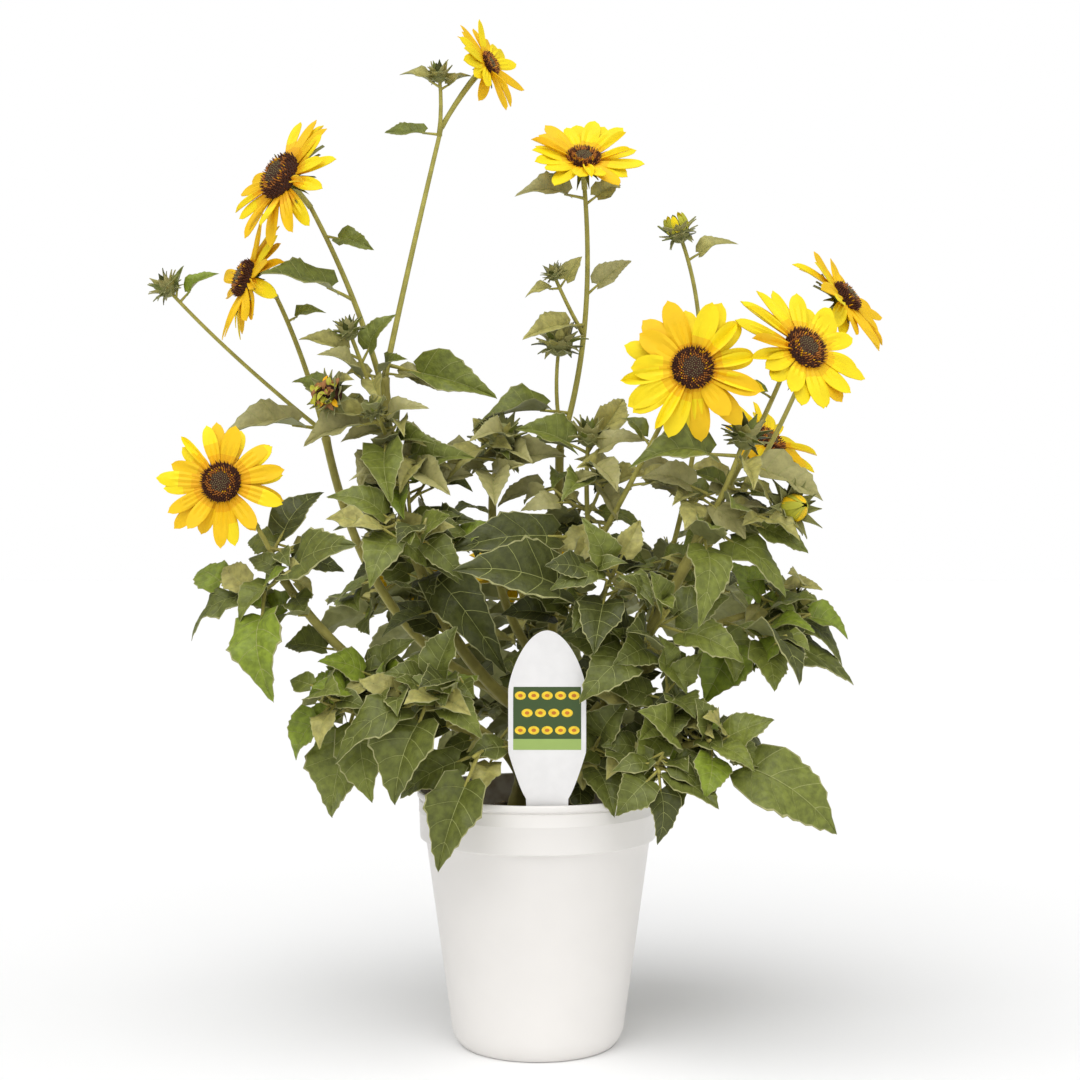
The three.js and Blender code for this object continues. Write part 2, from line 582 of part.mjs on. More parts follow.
// Boughs: each starts on its parent's middle line and is cut clear of all before it
const STEM_SIDES = 8;
const BOUGH_SIDES = 5;
const BOUGH_STEPS = 5;
const TWIG_SIDES = 3;
const TWIG_STEPS = 3;
const curves = {};

function makeBough(name, bough) {
  const parent = curves[bough.on];
  const foot = parent ? parent.point(bough.at) : bough.foot;
  const curve = limbCurve(foot, bough.tip, bough.bow);
  const sides = parent ? BOUGH_SIDES : STEM_SIDES;
  const flare = parent ? 0 : ROOT_FLARE.swell;
  curves[name] = curve;
  let solid = limbSolid(curve, bough.thick, sides, BOUGH_STEPS, 0, flare);
  if (!parent) {
    const ground = new THREE.BoxGeometry(SOIL.flatRadius * 2, SOIL.flatRadius * 2, SOIL.top);
    ground.translate(foot[0], foot[1], SOIL.top / 2 + GAP);
    solid = solid.subtract(toSolid(ground));
  }
  const body = cutClear(solid);
  grownLimbs.push(limbSolid(curve, bough.thick, sides, BOUGH_STEPS, GAP, flare));
  return body;
}

// The bare stem of a mass and its side twigs, plain and grown by the gap
function drawStems(name, mass) {
  const parent = curves[mass.on];
  const stem = limbCurve(parent.point(mass.at), mass.tip, mass.bow);
  const limbs = [[stem, mass.thick, TWIG_SIDES, BOUGH_STEPS]];
  curves[name] = stem;
  for (const [twigName, twig] of Object.entries(mass.twigs ?? {})) {
    const side = limbCurve(stem.point(twig.at), twig.tip, twig.bow);
    curves[`${name}/${twigName}`] = side;
    limbs.push([side, [mass.thick[1], mass.thick[1] * TWIG_TAPER], TWIG_SIDES, TWIG_STEPS]);
  }
  stems[name] = limbs.map((limb) => ({
    ...withBox(name, limbSolid(...limb)),
    grown: limbSolid(...limb, GAP),
  }));
}

// The small changes of heading and rise that a leaf tries before it is left out
const TRIES = [[0, 0], [14, 0], [-14, 0], [0, 14], [0, -14], [28, 0], [-28, 0], [14, 16], [-14, 16],
  [14, -16], [-14, -16], [44, 0], [-44, 0], [0, 32]];

function growLeaf(parts, name, curve, leaf, random) {
  const [share, heading, rise, reach] = leaf;
  const form = {
    reach,
    breadth: between(LEAF.breadth, random),
    droop: between(LEAF.droop, random),
    turn: [between(LEAF.turn, random), between(LEAF.turn, random), 0],
  };
  const start = curve.point(share);
  const clear = TRIES.map(([turn, lift]) => ({ ...form, heading: heading + turn, rise: rise + lift }))
    .filter((tried) => isClear(leafSolid(tried, start, GAP), name));
  if (clear.length === 0) {
    return;
  }
  const loose = clear.find((tried) => {
    const outer = leafSolid(tried, add(start, direction(tried.heading, tried.rise), OWN_REACH), 0);
    return parts.every((part) => outer.intersect(part).isEmpty());
  });
  parts.push(leafSolid(loose ?? clear[0], start));
}

// The seeded rule: smaller leaves that climb the twig in a spiral
function ruleLeaves(count, random) {
  const [first, last] = RULE_LEAF.share;
  return Array.from({ length: count }, (_, i) => [
    first + ((last - first) * (i + random())) / count,
    i * RULE_LEAF.turn + 360 * random(),
    between(RULE_LEAF.rise, random),
    between(RULE_LEAF.reach, random),
  ]);
}

function growTwig(parts, name, curve, twig, random) {
  for (const leaf of [...(twig.leaves ?? []), ...ruleLeaves(twig.rule ?? 0, random)]) {
    growLeaf(parts, name, curve, leaf, random);
  }
  if (twig.bud) {
    const facing = curve.heading(1);
    parts.push(...budSolids(add(curve.point(1), facing, twig.bud * BUD.lift), facing, twig.bud));
  }
}

function makeMass(name, mass, seed) {
  const random = randomFrom(seed);
  const parts = stems[name].map((stem) => stem.solid);
  growTwig(parts, name, curves[name], mass, random);
  for (const [twigName, twig] of Object.entries(mass.twigs ?? {})) {
    growTwig(parts, name, curves[`${name}/${twigName}`], twig, random);
  }
  const body = cutClear(library.Manifold.union(parts));
  grownLimbs.push(...stems[name].map((stem) => stem.grown));
  return body;
}

// A bloom: its neck rises from the twig's tip into a disc ringed with petals
function makeBloom(bloom, seed) {
  const random = randomFrom(seed);
  const facing = unit(bloom.faces);
  const across = unit(cross(facing, [0, 0, 1]));
  const other = cross(across, facing);
  const frame = (x, y, z) => add(add(add(bloom.centre, across, x), other, y), facing, z);
  const disc = reshape(new THREE.CylinderGeometry(1, 1, 1, DISC.sides, 1), (x, y, z) => {
    const radius = bloom.disc * (y > 0 ? 1 : DISC.back);
    return frame(x * radius, z * radius, y * DISC.thickness);
  });
  const stalk = curves[bloom.on];
  const tip = stalk.point(1);
  const start = add(tip, stalk.heading(1), GAP);
  const back = frame(0, 0, -DISC.thickness * DISC.seat);
  const rise = NECK.rise * length(add(back, start, -1));
  const neck = limbCurve(start, back, add(stalk.heading(1).map((v) => v * rise), facing, NECK.dip));
  const parts = [disc, limbSolid(neck, NECK.thick, NECK.sides, TWIG_STEPS)];
  const petals = PETAL.fewest + Math.round(random());
  for (let i = 0; i < petals; i += 1) {
    const turn = ((i + PETAL.scatter * random()) * 360) / petals;
    const reach = bloom.radius * between(PETAL.reach, random);
    const tilt = between(PETAL.tilt, random);
    if (bloom.bare && turn > bloom.bare[0] && turn < bloom.bare[1]) {
      continue;
    }
    const out = add(across.map((v) => v * Math.cos(radians(turn))), other, Math.sin(radians(turn)));
    const root = add(add(bloom.centre, out, bloom.disc - PETAL.root), facing, 1);
    const petal = petalSolid(root, unit(add(out, facing, tilt)), facing, reach - bloom.disc + PETAL.root);
    if (isClear(petal)) {
      parts.push(petal);
    }
  }
  const body = cutClear(library.Manifold.union(parts));
  grownLimbs.push(limbSolid(neck, NECK.thick, NECK.sides, TWIG_STEPS, GAP));
  return body;
}

const plant = new THREE.Group();

function show(name, solid, kind) {
  placed.push(withBox(name, solid));
  const [color, roughness] = COLOURS[kind];
  const material = new THREE.MeshStandardMaterial({ color, roughness, metalness: 0 });
  const mesh = new THREE.Mesh(toGeometry(solid), material);
  mesh.name = name;
  plant.add(mesh);
}

show('pot', makePot(), 'pot');
show('soil', makeSoil(), 'soil');
show('plant_label', makeLabel(), 'label');
for (const [name, bough] of Object.entries(BOUGHS)) {
  show(name, makeBough(name, bough), 'stem');
}
for (const [name, mass] of Object.entries(MASSES)) {
  drawStems(name, mass);
}
for (const [i, [name, bloom]] of Object.entries(BLOOMS).entries()) {
  show(name, makeBloom(bloom, BLOOM_SEED + i), 'bloom');
}
for (const [i, [name, mass]] of Object.entries(MASSES).entries()) {
  show(name, makeMass(name, mass, MASS_SEED + i), 'foliage');
}

export default plant;
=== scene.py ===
import functools
import math

import bpy
import numpy as np
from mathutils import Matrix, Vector, noise


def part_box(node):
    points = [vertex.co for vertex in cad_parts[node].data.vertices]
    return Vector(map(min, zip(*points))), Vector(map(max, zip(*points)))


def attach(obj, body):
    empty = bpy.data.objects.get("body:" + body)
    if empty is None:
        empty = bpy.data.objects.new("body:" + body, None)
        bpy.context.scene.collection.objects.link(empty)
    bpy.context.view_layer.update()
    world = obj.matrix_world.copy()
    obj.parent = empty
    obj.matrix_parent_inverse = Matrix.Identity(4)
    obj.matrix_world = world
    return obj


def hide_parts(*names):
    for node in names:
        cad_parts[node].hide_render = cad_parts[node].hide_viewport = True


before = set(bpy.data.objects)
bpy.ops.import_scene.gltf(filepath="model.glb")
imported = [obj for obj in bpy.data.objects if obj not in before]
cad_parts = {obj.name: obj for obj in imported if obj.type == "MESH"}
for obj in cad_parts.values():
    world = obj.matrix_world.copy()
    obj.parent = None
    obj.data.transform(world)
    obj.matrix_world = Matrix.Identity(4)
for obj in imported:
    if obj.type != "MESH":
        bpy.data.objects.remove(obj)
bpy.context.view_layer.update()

bl_info = {
    "name": "Potted Sunflower",
    "version": (1, 0, 0),
    "blender": (4, 5, 0),
    "location": "3D View > Sidebar > Sunflower",
    "description": "Dresses a branching sunflower in its white nursery pot",
    "category": "Object",
}

# The plant's own measures are in millimetres. Meshes are written in metres
MM = 0.001
BODY = "root"

# The pot, the soil in it and the label behind its rim
POT_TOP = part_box("pot")[1].z
RIM_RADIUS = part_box("pot")[1].x
COLLAR_FOOT = 140 * MM
SOIL_EDGE = 151 * MM
SOIL_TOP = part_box("soil")[1].z
SOIL_RADIUS = 73.4 * MM
WALL = 2.2 * MM
LABEL_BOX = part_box("plant_label")

# The main stem and its boughs: the parent, the place on it where the bough starts, its tip,
# how far its middle bows out of the straight line, and its thickness at foot and tip. The
# main stem has no parent, and its foot's point stands for the place
BOUGHS = {
    "main_stem": (None, [-15, 4, 150], [10, 8, 255], [0, 0, 0], [13, 9.5]),
    "bough_right": ("main_stem", 0.3, [107, -45, 345], [-6, -16, -52], [9, 6.4]),
    "bough_mid_right": ("main_stem", 1, [35, -12, 337], [2, 0, -17], [8, 6.4]),
    "bough_mid": ("main_stem", 0.86, [15, 20, 405], [4, 16, -3], [7, 5.6]),
    "bough_centre_left": ("main_stem", 0.95, [-31, 15, 382], [-26, 4, -24], [6.6, 5.2]),
    "bough_tall_left": ("main_stem", 0.62, [-105, 0, 453], [-44, -24, -52], [8.4, 6]),
    "bough_left": ("main_stem", 0.76, [-149, 30, 414], [-44, 26, -74], [7.4, 5.4]),
    "bough_far_left": ("main_stem", 0.42, [-166, -55, 316], [-30, -26, -20], [7.6, 5.4]),
    "bough_low_left": ("main_stem", 0.2, [-63, -75, 236], [22, -16, 5], [7, 5]),
    "bough_low_right": ("main_stem", 0.26, [105, -70, 212], [34, -34, 10], [7.6, 5]),
    "bough_side_right": ("bough_right", 0.6, [152, -10, 293], [18, 0, 17], [5.6, 4.4]),
    "bough_back_left": ("main_stem", 0.66, [-74, 108, 284], [-10, 6, -22], [7, 5]),
    "bough_back_right": ("main_stem", 0.8, [76, 112, 286], [10, 6, -22], [7, 5]),
    "bough_back": ("main_stem", 0.46, [-4, 118, 250], [0, 10, -16], [6.4, 4.6]),
}

# The masses of foliage. A mass is one stem, a row as above, with side twigs. A twig starts on
# the mass's stem, so its row has no parent, and it takes its thickness from that stem. Each
# has its leaves as (share along the twig, heading, rise, reach), a count of smaller leaves
# that the seeded rule adds, and the radius of a bud at its tip. "fine" counts finer shoots
MASSES = {
    "stalk_top": {
        "stem": ("bough_tall_left", 1, [-67, 15, 628], [-4, -5, -14], [4.8, 3.4]),
        "leaves": [(0.06, 344, -14, 80), (0.02, 330, -5, 34), (0.975, 194, 4, 38)],
        "twigs": {"top_bud": {"stem": (0.97, [-68, 12, 660], [2, -2, 3]), "bud": 7,
                              "leaves": [(0.85, 196, 29, 28), (0.8, 21, 36, 26)]}},
    },
    "stalk_tall_left": {
        "stem": ("bough_tall_left", 0.95, [-153, -20, 566], [8, 6, 3], [4.8, 3.4]),
        "leaves": [(0.85, 332, -12, 37), (0.52, 205, 21, 68)],
    },
    "fork_shoot": {
        "stem": ("bough_tall_left", 0.86, [-125, -25, 478], [-2, -6, 9], [3.8, 3]), "bud": 8, "fine": 2,
        "leaves": [(0.7, 322, 57, 40), (0.75, 191, 26, 42), (0.5, 232, 28, 48)],
        "twigs": {"spent": {"stem": (0.3, [-133, -44, 436], [2, -2, -3]), "bud": 10.5}},
    },
    "fork_front": {
        "stem": ("bough_tall_left", 0.78, [-107, -45, 426], [3, 10, 4], [4, 3]), "bud": 6, "fine": 3,
        "leaves": [(0.9, 324, 16, 37), (0.6, 271, -30, 65), (0.85, 192, -9, 52), (0.5, 310, 7, 40),
                   (0.95, 269, 19, 35)],
    },
    "stalk_left": {
        "stem": ("bough_left", 1, [-183, 25, 512], [3, 1, 7], [4.4, 3.4]),
        "leaves": [(0.05, 201, 8, 76), (0.8, 329, 24, 28), (0.08, 308, 15, 39)],
        "twigs": {"bud_left": {"stem": (0.03, [-254, 14, 513], [-12, -1, 4]), "bud": 8.5,
                               "leaves": [(0.93, 335, 42, 34), (0.96, 300, 76, 23)]}},
    },
    "stalk_far_left": {
        "stem": ("bough_far_left", 1, [-182, -62, 350], [2, -3, 0], [4.4, 3.4]), "fine": 3,
        "leaves": [(0.5, 24, 63, 54), (0.45, 341, -4, 47)],
        "twigs": {"edge": {"stem": (0.1, [-184, -66, 306], [0, 0, -4]),
                           "leaves": [(0.9, 159, 36, 34), (0.8, 314, 41, 30), (0.5, 176, -17, 62),
                                      (0.6, 270, -49, 74), (0.3, 339, 25, 80)]}},
    },
    "foliage_left": {
        "stem": ("bough_far_left", 0.56, [-120, -70, 231], [0, -4, 0], [3.8, 2.8]), "fine": 7,
        "leaves": [(0.9, 172, -14, 39), (0.8, 205, -58, 74), (0.7, 282, -55, 67), (0.4, 208, 35, 30),
                   (0.3, 332, 50, 45), (0.6, 339, 7, 42), (0.5, 120, 10, 52)],
    },
    "foliage_low_left": {
        "stem": ("bough_low_left", 1, [-72, -86, 248], [0, 0, 2], [4, 3]), "fine": 4,
        "leaves": [(0.5, 207, -19, 71), (0.7, 342, 70, 45), (0.5, 316, -10, 31), (0.9, 217, 21, 24),
                   (0.8, 100, 45, 38), (0.6, 217, -57, 73)],
    },
    "foliage_rim_left": {
        "stem": ("bough_low_left", 0.5, [-41, -85, 204], [0, -4, 3], [3.6, 2.6]), "fine": 4,
        "leaves": [(0.8, 234, -54, 76), (0.6, 188, -21, 61)],
    },
    "foliage_centre_front": {
        "stem": ("bough_tall_left", 0.6, [-91, -60, 355], [8, -6, -12], [4, 3]), "rule": 1, "fine": 12,
        "leaves": [(0.9, 212, 34, 50), (0.85, 250, -21, 56), (0.1, 318, -38, 96),
                   (0.6, 301, 26, 46), (0.3, 218, -12, 48)],
        "twigs": {"inner": {"stem": (0.25, [-88, -27, 398], [-2, 0, 0]),
                            "leaves": [(0.8, 349, 26, 45), (0.9, 306, -15, 46), (0.6, 150, 20, 40)]}},
    },
    "foliage_centre_left": {
        "stem": ("bough_centre_left", 1, [-26, 4, 407], [0, 0, 0], [4, 3.2]), "bud": 12, "fine": 3,
        "leaves": [(0.3, 208, 2, 30), (0.5, 331, 9, 52), (0.6, 206, 6, 54), (0.3, 268, -12, 59),
                   (0.8, 168, 55, 32), (0.6, 80, 10, 50)],
    },
    "foliage_mid_right": {
        "stem": ("bough_mid_right", 1, [34, -15, 407], [-3, -1, 5], [4, 3.2]), "bud": 10, "fine": 4,
        "leaves": [(0.08, 209, 3, 98), (0.9, 35, 50, 55), (0.9, 187, 28, 50), (0.85, 328, 26, 43),
                   (0.8, 292, -11, 55), (0.6, 253, 0, 37)],
        "twigs": {"upper": {"stem": (0.3, [44, 26, 382], [2, 6, -3]), "bud": 8,
                            "leaves": [(0.7, 60, 10, 46), (0.9, 350, 20, 38)]}},
    },
    "stalk_mid_right": {
        "stem": ("bough_mid_right", 0.9, [85, -50, 426], [-2, -9, -6], [4.6, 3.4]),
        "leaves": [(0.8, 145, 51, 30), (0.55, 340, 10, 42)],
    },
    "stalk_mid": {
        "stem": ("bough_mid", 1, [32, 0, 582], [17, 4, -12], [4.8, 3.4]),
        "leaves": [(0.97, 197, 10, 47), (0.95, 28, 38, 38), (0.63, 345, 42, 38), (0.52, 196, -8, 54),
                   (0.16, 190, -6, 66)],
        "twigs": {
            "high": {"stem": (0.48, [12, 0, 521], [0, 0, -3]), "bud": 6,
                     "leaves": [(0.85, 196, -5, 24), (0.85, 336, 54, 26)]},
            "low": {"stem": (0.04, [14, 6, 471], [-5, -4, -2]), "bud": 12},
        },
    },
    "foliage_centre": {
        "stem": ("bough_mid_right", 0.45, [52, -62, 328], [5, -12, -10], [4, 3]), "rule": 2, "fine": 5,
        "leaves": [(0.95, 213, -8, 48), (0.9, 300, -12, 45), (0.95, 345, 60, 33), (0.8, 241, 42, 44),
                   (0.5, 212, 20, 100), (0.7, 260, -30, 60)],
    },
    "stalk_right_front": {
        "stem": ("bough_right", 1, [134, -50, 404], [1, -5, -5], [4.4, 3.4]), "bud": 11, "fine": 5,
        "leaves": [(0.06, 272, -30, 76), (0.14, 336, -32, 69), (0.9, 200, 3, 71), (0.88, 285, -17, 43),
                   (0.85, 356, -16, 62)],
        "twigs": {
            "edge": {"stem": (0.06, [163, -46, 362], [9, -7, 3]), "bud": 11,
                     "leaves": [(0.4, 344, -20, 47), (0.8, 243, 50, 30), (0.3, 63, 24, 54)]},
            "inner": {"stem": (0.04, [100, -32, 386], [-2, 2, 2]),
                      "leaves": [(0.8, 214, 23, 41), (0.5, 172, 38, 38), (0.6, 238, 0, 34)]},
        },
    },
    "stalk_right_high": {
        "stem": ("bough_right", 0.92, [163, -33, 452], [14, 22, 14], [4.6, 3.4]),
        "leaves": [(0.85, 148, 36, 28)],
    },
    "stalk_right_far": {
        "stem": ("bough_right", 0.8, [203, 42, 500], [24, 20, -2], [4.6, 3.2]), "fine": 3,
        "leaves": [(0.45, 70, 20, 46), (0.3, 130, -5, 56)],
        "twigs": {"low_bloom": {"stem": (0.32, [158, 52, 396], [-2, 4, -6])}},
    },
    "stalk_bud_high": {
        "stem": ("bough_right", 0.7, [99, 8, 549], [52, 42, 40], [4.2, 3]), "bud": 9.5,
        "leaves": [(0.93, 341, 32, 34), (0.2, 100, -20, 44), (0.16, 150, -10, 46)],
    },
    "foliage_side_bud": {
        "stem": ("bough_side_right", 1, [171, -2, 298], [0, 0, 0], [3.6, 3]), "bud": 9, "fine": 4,
        "leaves": [(0.6, 343, -21, 54), (0.4, 200, 47, 46), (0.5, 60, 10, 58)],
    },
    "foliage_side": {
        "stem": ("bough_side_right", 0.62, [148, -38, 279], [0, 0, 0], [3.6, 3]), "fine": 3,
        "leaves": [(0.6, 337, -18, 84), (0.9, 284, -28, 50), (0.5, 298, -21, 76), (0.5, 223, -49, 53)],
    },
    "foliage_right_inner": {
        "stem": ("bough_right", 0.5, [84, -75, 297], [0, 0, 0], [4, 3]), "rule": 2, "fine": 4,
        "leaves": [(0.8, 341, 30, 51), (0.9, 310, 45, 40), (0.6, 275, 24, 48), (0.4, 190, 29, 50),
                   (0.6, 230, -20, 60)],
    },
    "foliage_low_inner": {
        "stem": ("bough_low_right", 0.6, [84, -65, 249], [2, 0, -5], [3.8, 2.8]), "rule": 1, "fine": 4,
        "leaves": [(0.95, 254, 72, 36), (0.9, 333, 47, 34), (0.85, 297, -6, 36), (0.8, 196, 19, 40),
                   (0.5, 245, -9, 36), (0.7, 60, 20, 50)],
    },
    "foliage_low_right": {
        "stem": ("bough_low_right", 1, [113, -81, 210], [0, 0, 0], [3.8, 3]), "fine": 3,
        "leaves": [(0.6, 252, 57, 36), (0.7, 338, 27, 44), (0.5, 345, -28, 98), (0.8, 265, -37, 38),
                   (0.8, 40, 10, 55)],
    },
    "foliage_rim_right": {
        "stem": ("bough_low_right", 0.55, [77, -92, 195], [0, -4, 2], [3.4, 2.6]), "fine": 4,
        "leaves": [(0.6, 306, -17, 53), (0.9, 222, -30, 40), (0.9, 285, -66, 44)],
    },
    "foliage_base": {
        "stem": ("main_stem", 0.12, [40, -45, 210], [14, -14, -6], [3.8, 2.8]), "fine": 4,
        "leaves": [(0.8, 291, -41, 48), (0.6, 275, -29, 40), (0.9, 306, 60, 44), (0.9, 324, -14, 44)],
    },
    "foliage_back_left": {
        "stem": ("bough_back_left", 1, [-88, 118, 306], [-4, 8, 2], [4.4, 3.2]), "rule": 2, "fine": 9,
        "leaves": [(0.1, 140, -20, 85), (0.3, 60, -10, 70), (0.5, 190, -5, 75), (0.8, 110, 20, 50)],
        "twigs": {"side": {"stem": (0.2, [-136, 86, 302], [-6, 6, -4]),
                           "leaves": [(0.5, 180, -15, 64), (0.8, 230, 10, 56), (0.9, 110, 5, 60)]}},
    },
    "foliage_back_right": {
        "stem": ("bough_back_right", 1, [98, 124, 326], [4, 8, 0], [4.4, 3.2]), "bud": 9, "fine": 9,
        "leaves": [(0.1, 40, -20, 85), (0.3, 110, -10, 72), (0.6, 350, 0, 70), (0.85, 80, 20, 50)],
        "twigs": {"side": {"stem": (0.2, [144, 90, 306], [6, 6, -4]),
                           "leaves": [(0.5, 30, -15, 56), (0.8, 310, 10, 50), (0.9, 70, 5, 60)]}},
        "rule": 2,
    },
    "foliage_back": {
        "stem": ("bough_back", 1, [4, 140, 282], [-2, 6, 2], [4, 3]), "rule": 2, "fine": 9,
        "leaves": [(0.1, 250, -30, 60), (0.3, 130, -35, 80), (0.4, 60, -25, 78), (0.7, 95, 10, 60)],
        "twigs": {"upper": {"stem": (0.5, [-14, 118, 304], [-4, 0, 2]),
                            "leaves": [(0.5, 100, 0, 62), (0.8, 170, 5, 55), (0.95, 40, 10, 55)]}},
    },
    "foliage_back_low_left": {
        "stem": ("bough_back", 0.55, [-58, 92, 214], [-6, 4, -4], [3.6, 2.8]), "fine": 6,
        "leaves": [(0.5, 170, 0, 60), (0.8, 120, -48, 76), (0.9, 200, -20, 70), (0.9, 150, 25, 46)],
    },
    "foliage_back_low_right": {
        "stem": ("bough_back", 0.45, [56, 88, 214], [6, 4, -6], [3.6, 2.8]), "fine": 6,
        "leaves": [(0.5, 20, 0, 60), (0.8, 70, -46, 76), (0.9, 335, -15, 70), (0.9, 40, 25, 46)],
    },
}

# The blooms: the twig that carries each one, the middle of its disc, the way that it faces, its
# radius to the petal tips, its disc's radius and the share of its petals that are golden. Some
# also say which arc of turns is bare or has longer petals, how loose, cupped and thin the
# petals are, how far their amber claws reach (partly painted shade near the disc), and how ripe and how domed
# the disc is
BLOOMS = {
    "bloom_top": {"on": "stalk_top", "centre": [-34, 18, 673], "faces": [0.81, -0.46, 0.36], "radius": 33,
                  "disc": 9, "gold": 0.5, "loose": 0.3},
    "bloom_tall_left": {"on": "stalk_tall_left", "centre": [-170, -35, 583], "faces": [-0.66, -0.64, 0.38],
                        "radius": 46, "disc": 17.5, "bare": (16, 72), "gold": 0.55, "ripe": 0.15,
                        "loose": 0.2, "thin": 0.74, "claw": 1.4, "dome": 0.55},
    "bloom_left": {"on": "stalk_left", "centre": [-199, -5, 520], "faces": [-0.86, -0.4, 0.32], "radius": 43,
                   "disc": 14, "gold": 0.75, "ripe": 0.2, "loose": 0.35, "thin": 0.95,
                   "dome": 0.55},
    "bloom_mid": {"on": "stalk_mid", "centre": [31, -10, 601], "faces": [0.05, -0.7, 0.7], "radius": 40,
                  "disc": 12.5, "gold": 0.15, "cup": 0.32},
    "bloom_right_front": {"on": "stalk_mid_right", "centre": [100, -70, 453], "faces": [0, -1, 0.06],
                          "radius": 45, "disc": 15, "gold": 0.45, "thin": 1.14},
    "bloom_right": {"on": "stalk_right_high", "centre": [176, -46, 468], "faces": [0.42, -0.8, 0.42],
                    "radius": 45, "disc": 16, "gold": 0.2, "long": (15, 80), "thin": 1.08},
    "bloom_right_high": {"on": "stalk_right_far", "centre": [217, 40, 513], "faces": [0.7, -0.4, 0.6],
                         "radius": 44, "disc": 13, "gold": 0.6, "ripe": 0.3, "loose": 0.3,
                         "dome": 0.62},
    "bloom_right_low": {"on": "stalk_right_far/low_bloom", "centre": [164, 44, 412],
                        "faces": [0.5, -0.5, 0.7], "radius": 38, "disc": 13, "gold": 0.3},
    "bloom_far_left": {"on": "stalk_far_left", "centre": [-203, -76, 379], "faces": [-0.06, -1, 0.1],
                       "radius": 40, "disc": 14, "gold": 0.45, "thin": 0.92, "claw": 1.5},
    "bloom_back_left": {"on": "foliage_back_left", "centre": [-98, 138, 322], "faces": [-0.3, 0.8, 0.5],
                        "radius": 40, "disc": 14, "gold": 0.3},
    "bloom_back": {"on": "foliage_back/upper", "centre": [-14, 136, 322], "faces": [0.1, 0.9, 0.4],
                   "radius": 40, "disc": 14, "gold": 0.2},
}

# Buds that aren't shut: the spent head, and those that show some yellow
BUD_STATES = {
    "fork_shoot/spent": "spent",
    "stalk_right_front/edge": "opening",
    "stalk_bud_high": "showing",
}

# The seeded rule of the plant, and the smaller shoots that carry it on
MASS_SEED = 11
CHIP_SEED = 77
BLOOM_SEED = 401
FLORET_SEED = 451
FINE_SEED = 907
INNER_SEED = 1007
LEAF_SEED = 1207
BUD_SEED = 5003
CALYX_SEED = 5103
RULE_LEAF = {"share": (0.15, 0.95), "turn": 137.5, "rise": (-20, 30), "reach": (34, 60)}
FINE_SHOOT = {"share": (0.05, 0.98), "uneven": 70, "length": (12, 30), "rise": (-15, 50), "sag": 0.12,
              "leaves": (2, 3), "spare": 2}
FINE_LEAF = {"first": 0.35, "turn": 100, "uneven": 40, "rise": (-35, 30), "reach": (22, 44)}
INNER_LEAF = {"share": (0.3, 0.98), "uneven": 50, "rise": (-25, 35), "reach": (32, 54), "spacing": 13}

# A leaf in shares of its reach, as in the solids: its petiole, and how its face turns
KNEE = 0.28
BREADTH = (0.66, 0.88)
DROOP = (0.06, 0.22)
TURN = (-0.3, 0.3)
OUTWARDS = 0.6
FRONTWARDS = -0.85
BACKWARDS = 0.3
BACK_STARTS = 50
ROOM_ROWS = (0.45, 0.6, 0.75, 0.9)
ROOM_SIDE = 0.3

# The swings and lifts in degrees that a leaf tries in turn. One of the solids' own leaves takes
# the try that ends at a point of the solid, and a finer leaf the first that has room
TRIES = [(0, 0), (14, 0), (-14, 0), (0, 14), (0, -14), (28, 0), (-28, 0), (14, 16), (-14, 16),
         (14, -16), (-14, -16), (44, 0), (-44, 0), (0, 32)]
SAME_TIP = 0.4

# The camera's place in millimetres, and where the crown is open to the sky as seen from there:
# x, z and radius
EYE_DISTANCE = 1200
EYE_HEIGHT = 342
SKY = [
    (-148, 385, 24), (-128, 330, 12), (-70, 440, 24), (-30, 445, 22), (-42, 322, 10), (60, 405, 13),
    (128, 330, 10), (-130, 270, 8), (48, 300, 8), (-94, 438, 10), (-50, 419, 8), (1, 416, 7), (1, 395, 9),
    (23, 390, 7), (63, 378, 10), (85, 368, 7), (82, 343, 11), (-5, 339, 7), (10, 345, 6), (-67, 369, 6),
    (-18, 322, 6), (42, 306, 9), (66, 293, 9), (128, 293, 14), (152, 302, 7), (103, 270, 6), (70, 220, 6),
    (-146, 306, 7), (-129, 286, 10), (-122, 400, 8), (-81, 373, 6), (203, 322, 15), (181, 369, 15),
    (45, 313, 7), (112, 302, 7), (134, 305, 9), (44, 273, 6), (83, 238, 9), (62, 222, 7), (118, 372, 7),
    (60, 438, 9), (98, 404, 6), (135, 236, 12),
]

# The room that a finer leaf needs: it may leave its mass's box by a margin, and may share only
# some of its cells. It stays clear of the pot, the label and the blooms
REACH_MARGIN = 5
CELL = 6.0
CROWDED = 0.34
LOWEST_LEAF = 150
CLEAR = {"rim": 3, "rim_top": 4, "label_side": 4, "label_back": 8, "label_top": 2, "bloom": 0.85}

# How finely the two leaf shapes are modelled, and the reach below which a leaf has the small one
LEAF_ROWS = 14
SMALL_ROWS = 8
LEAF_COLUMNS = 8
SMALL_COLUMNS = 6
SMALL_LEAF = 33


# Vectors and seeded numbers

def unit(v):
    return v / np.linalg.norm(v)


def direction(heading, rise):
    flat = math.cos(math.radians(rise))
    return np.array([flat * math.cos(math.radians(heading)), flat * math.sin(math.radians(heading)),
                     math.sin(math.radians(rise))])


def random_from(seed):
    """One stream of numbers from 0 to 1 for each seed."""
    state = [seed]

    def draw():
        state[0] = (state[0] * 1664525 + 1013904223) % 4294967296
        return state[0] / 4294967296

    return draw


def between(limits, random):
    low, high = limits
    return low + (high - low) * random()


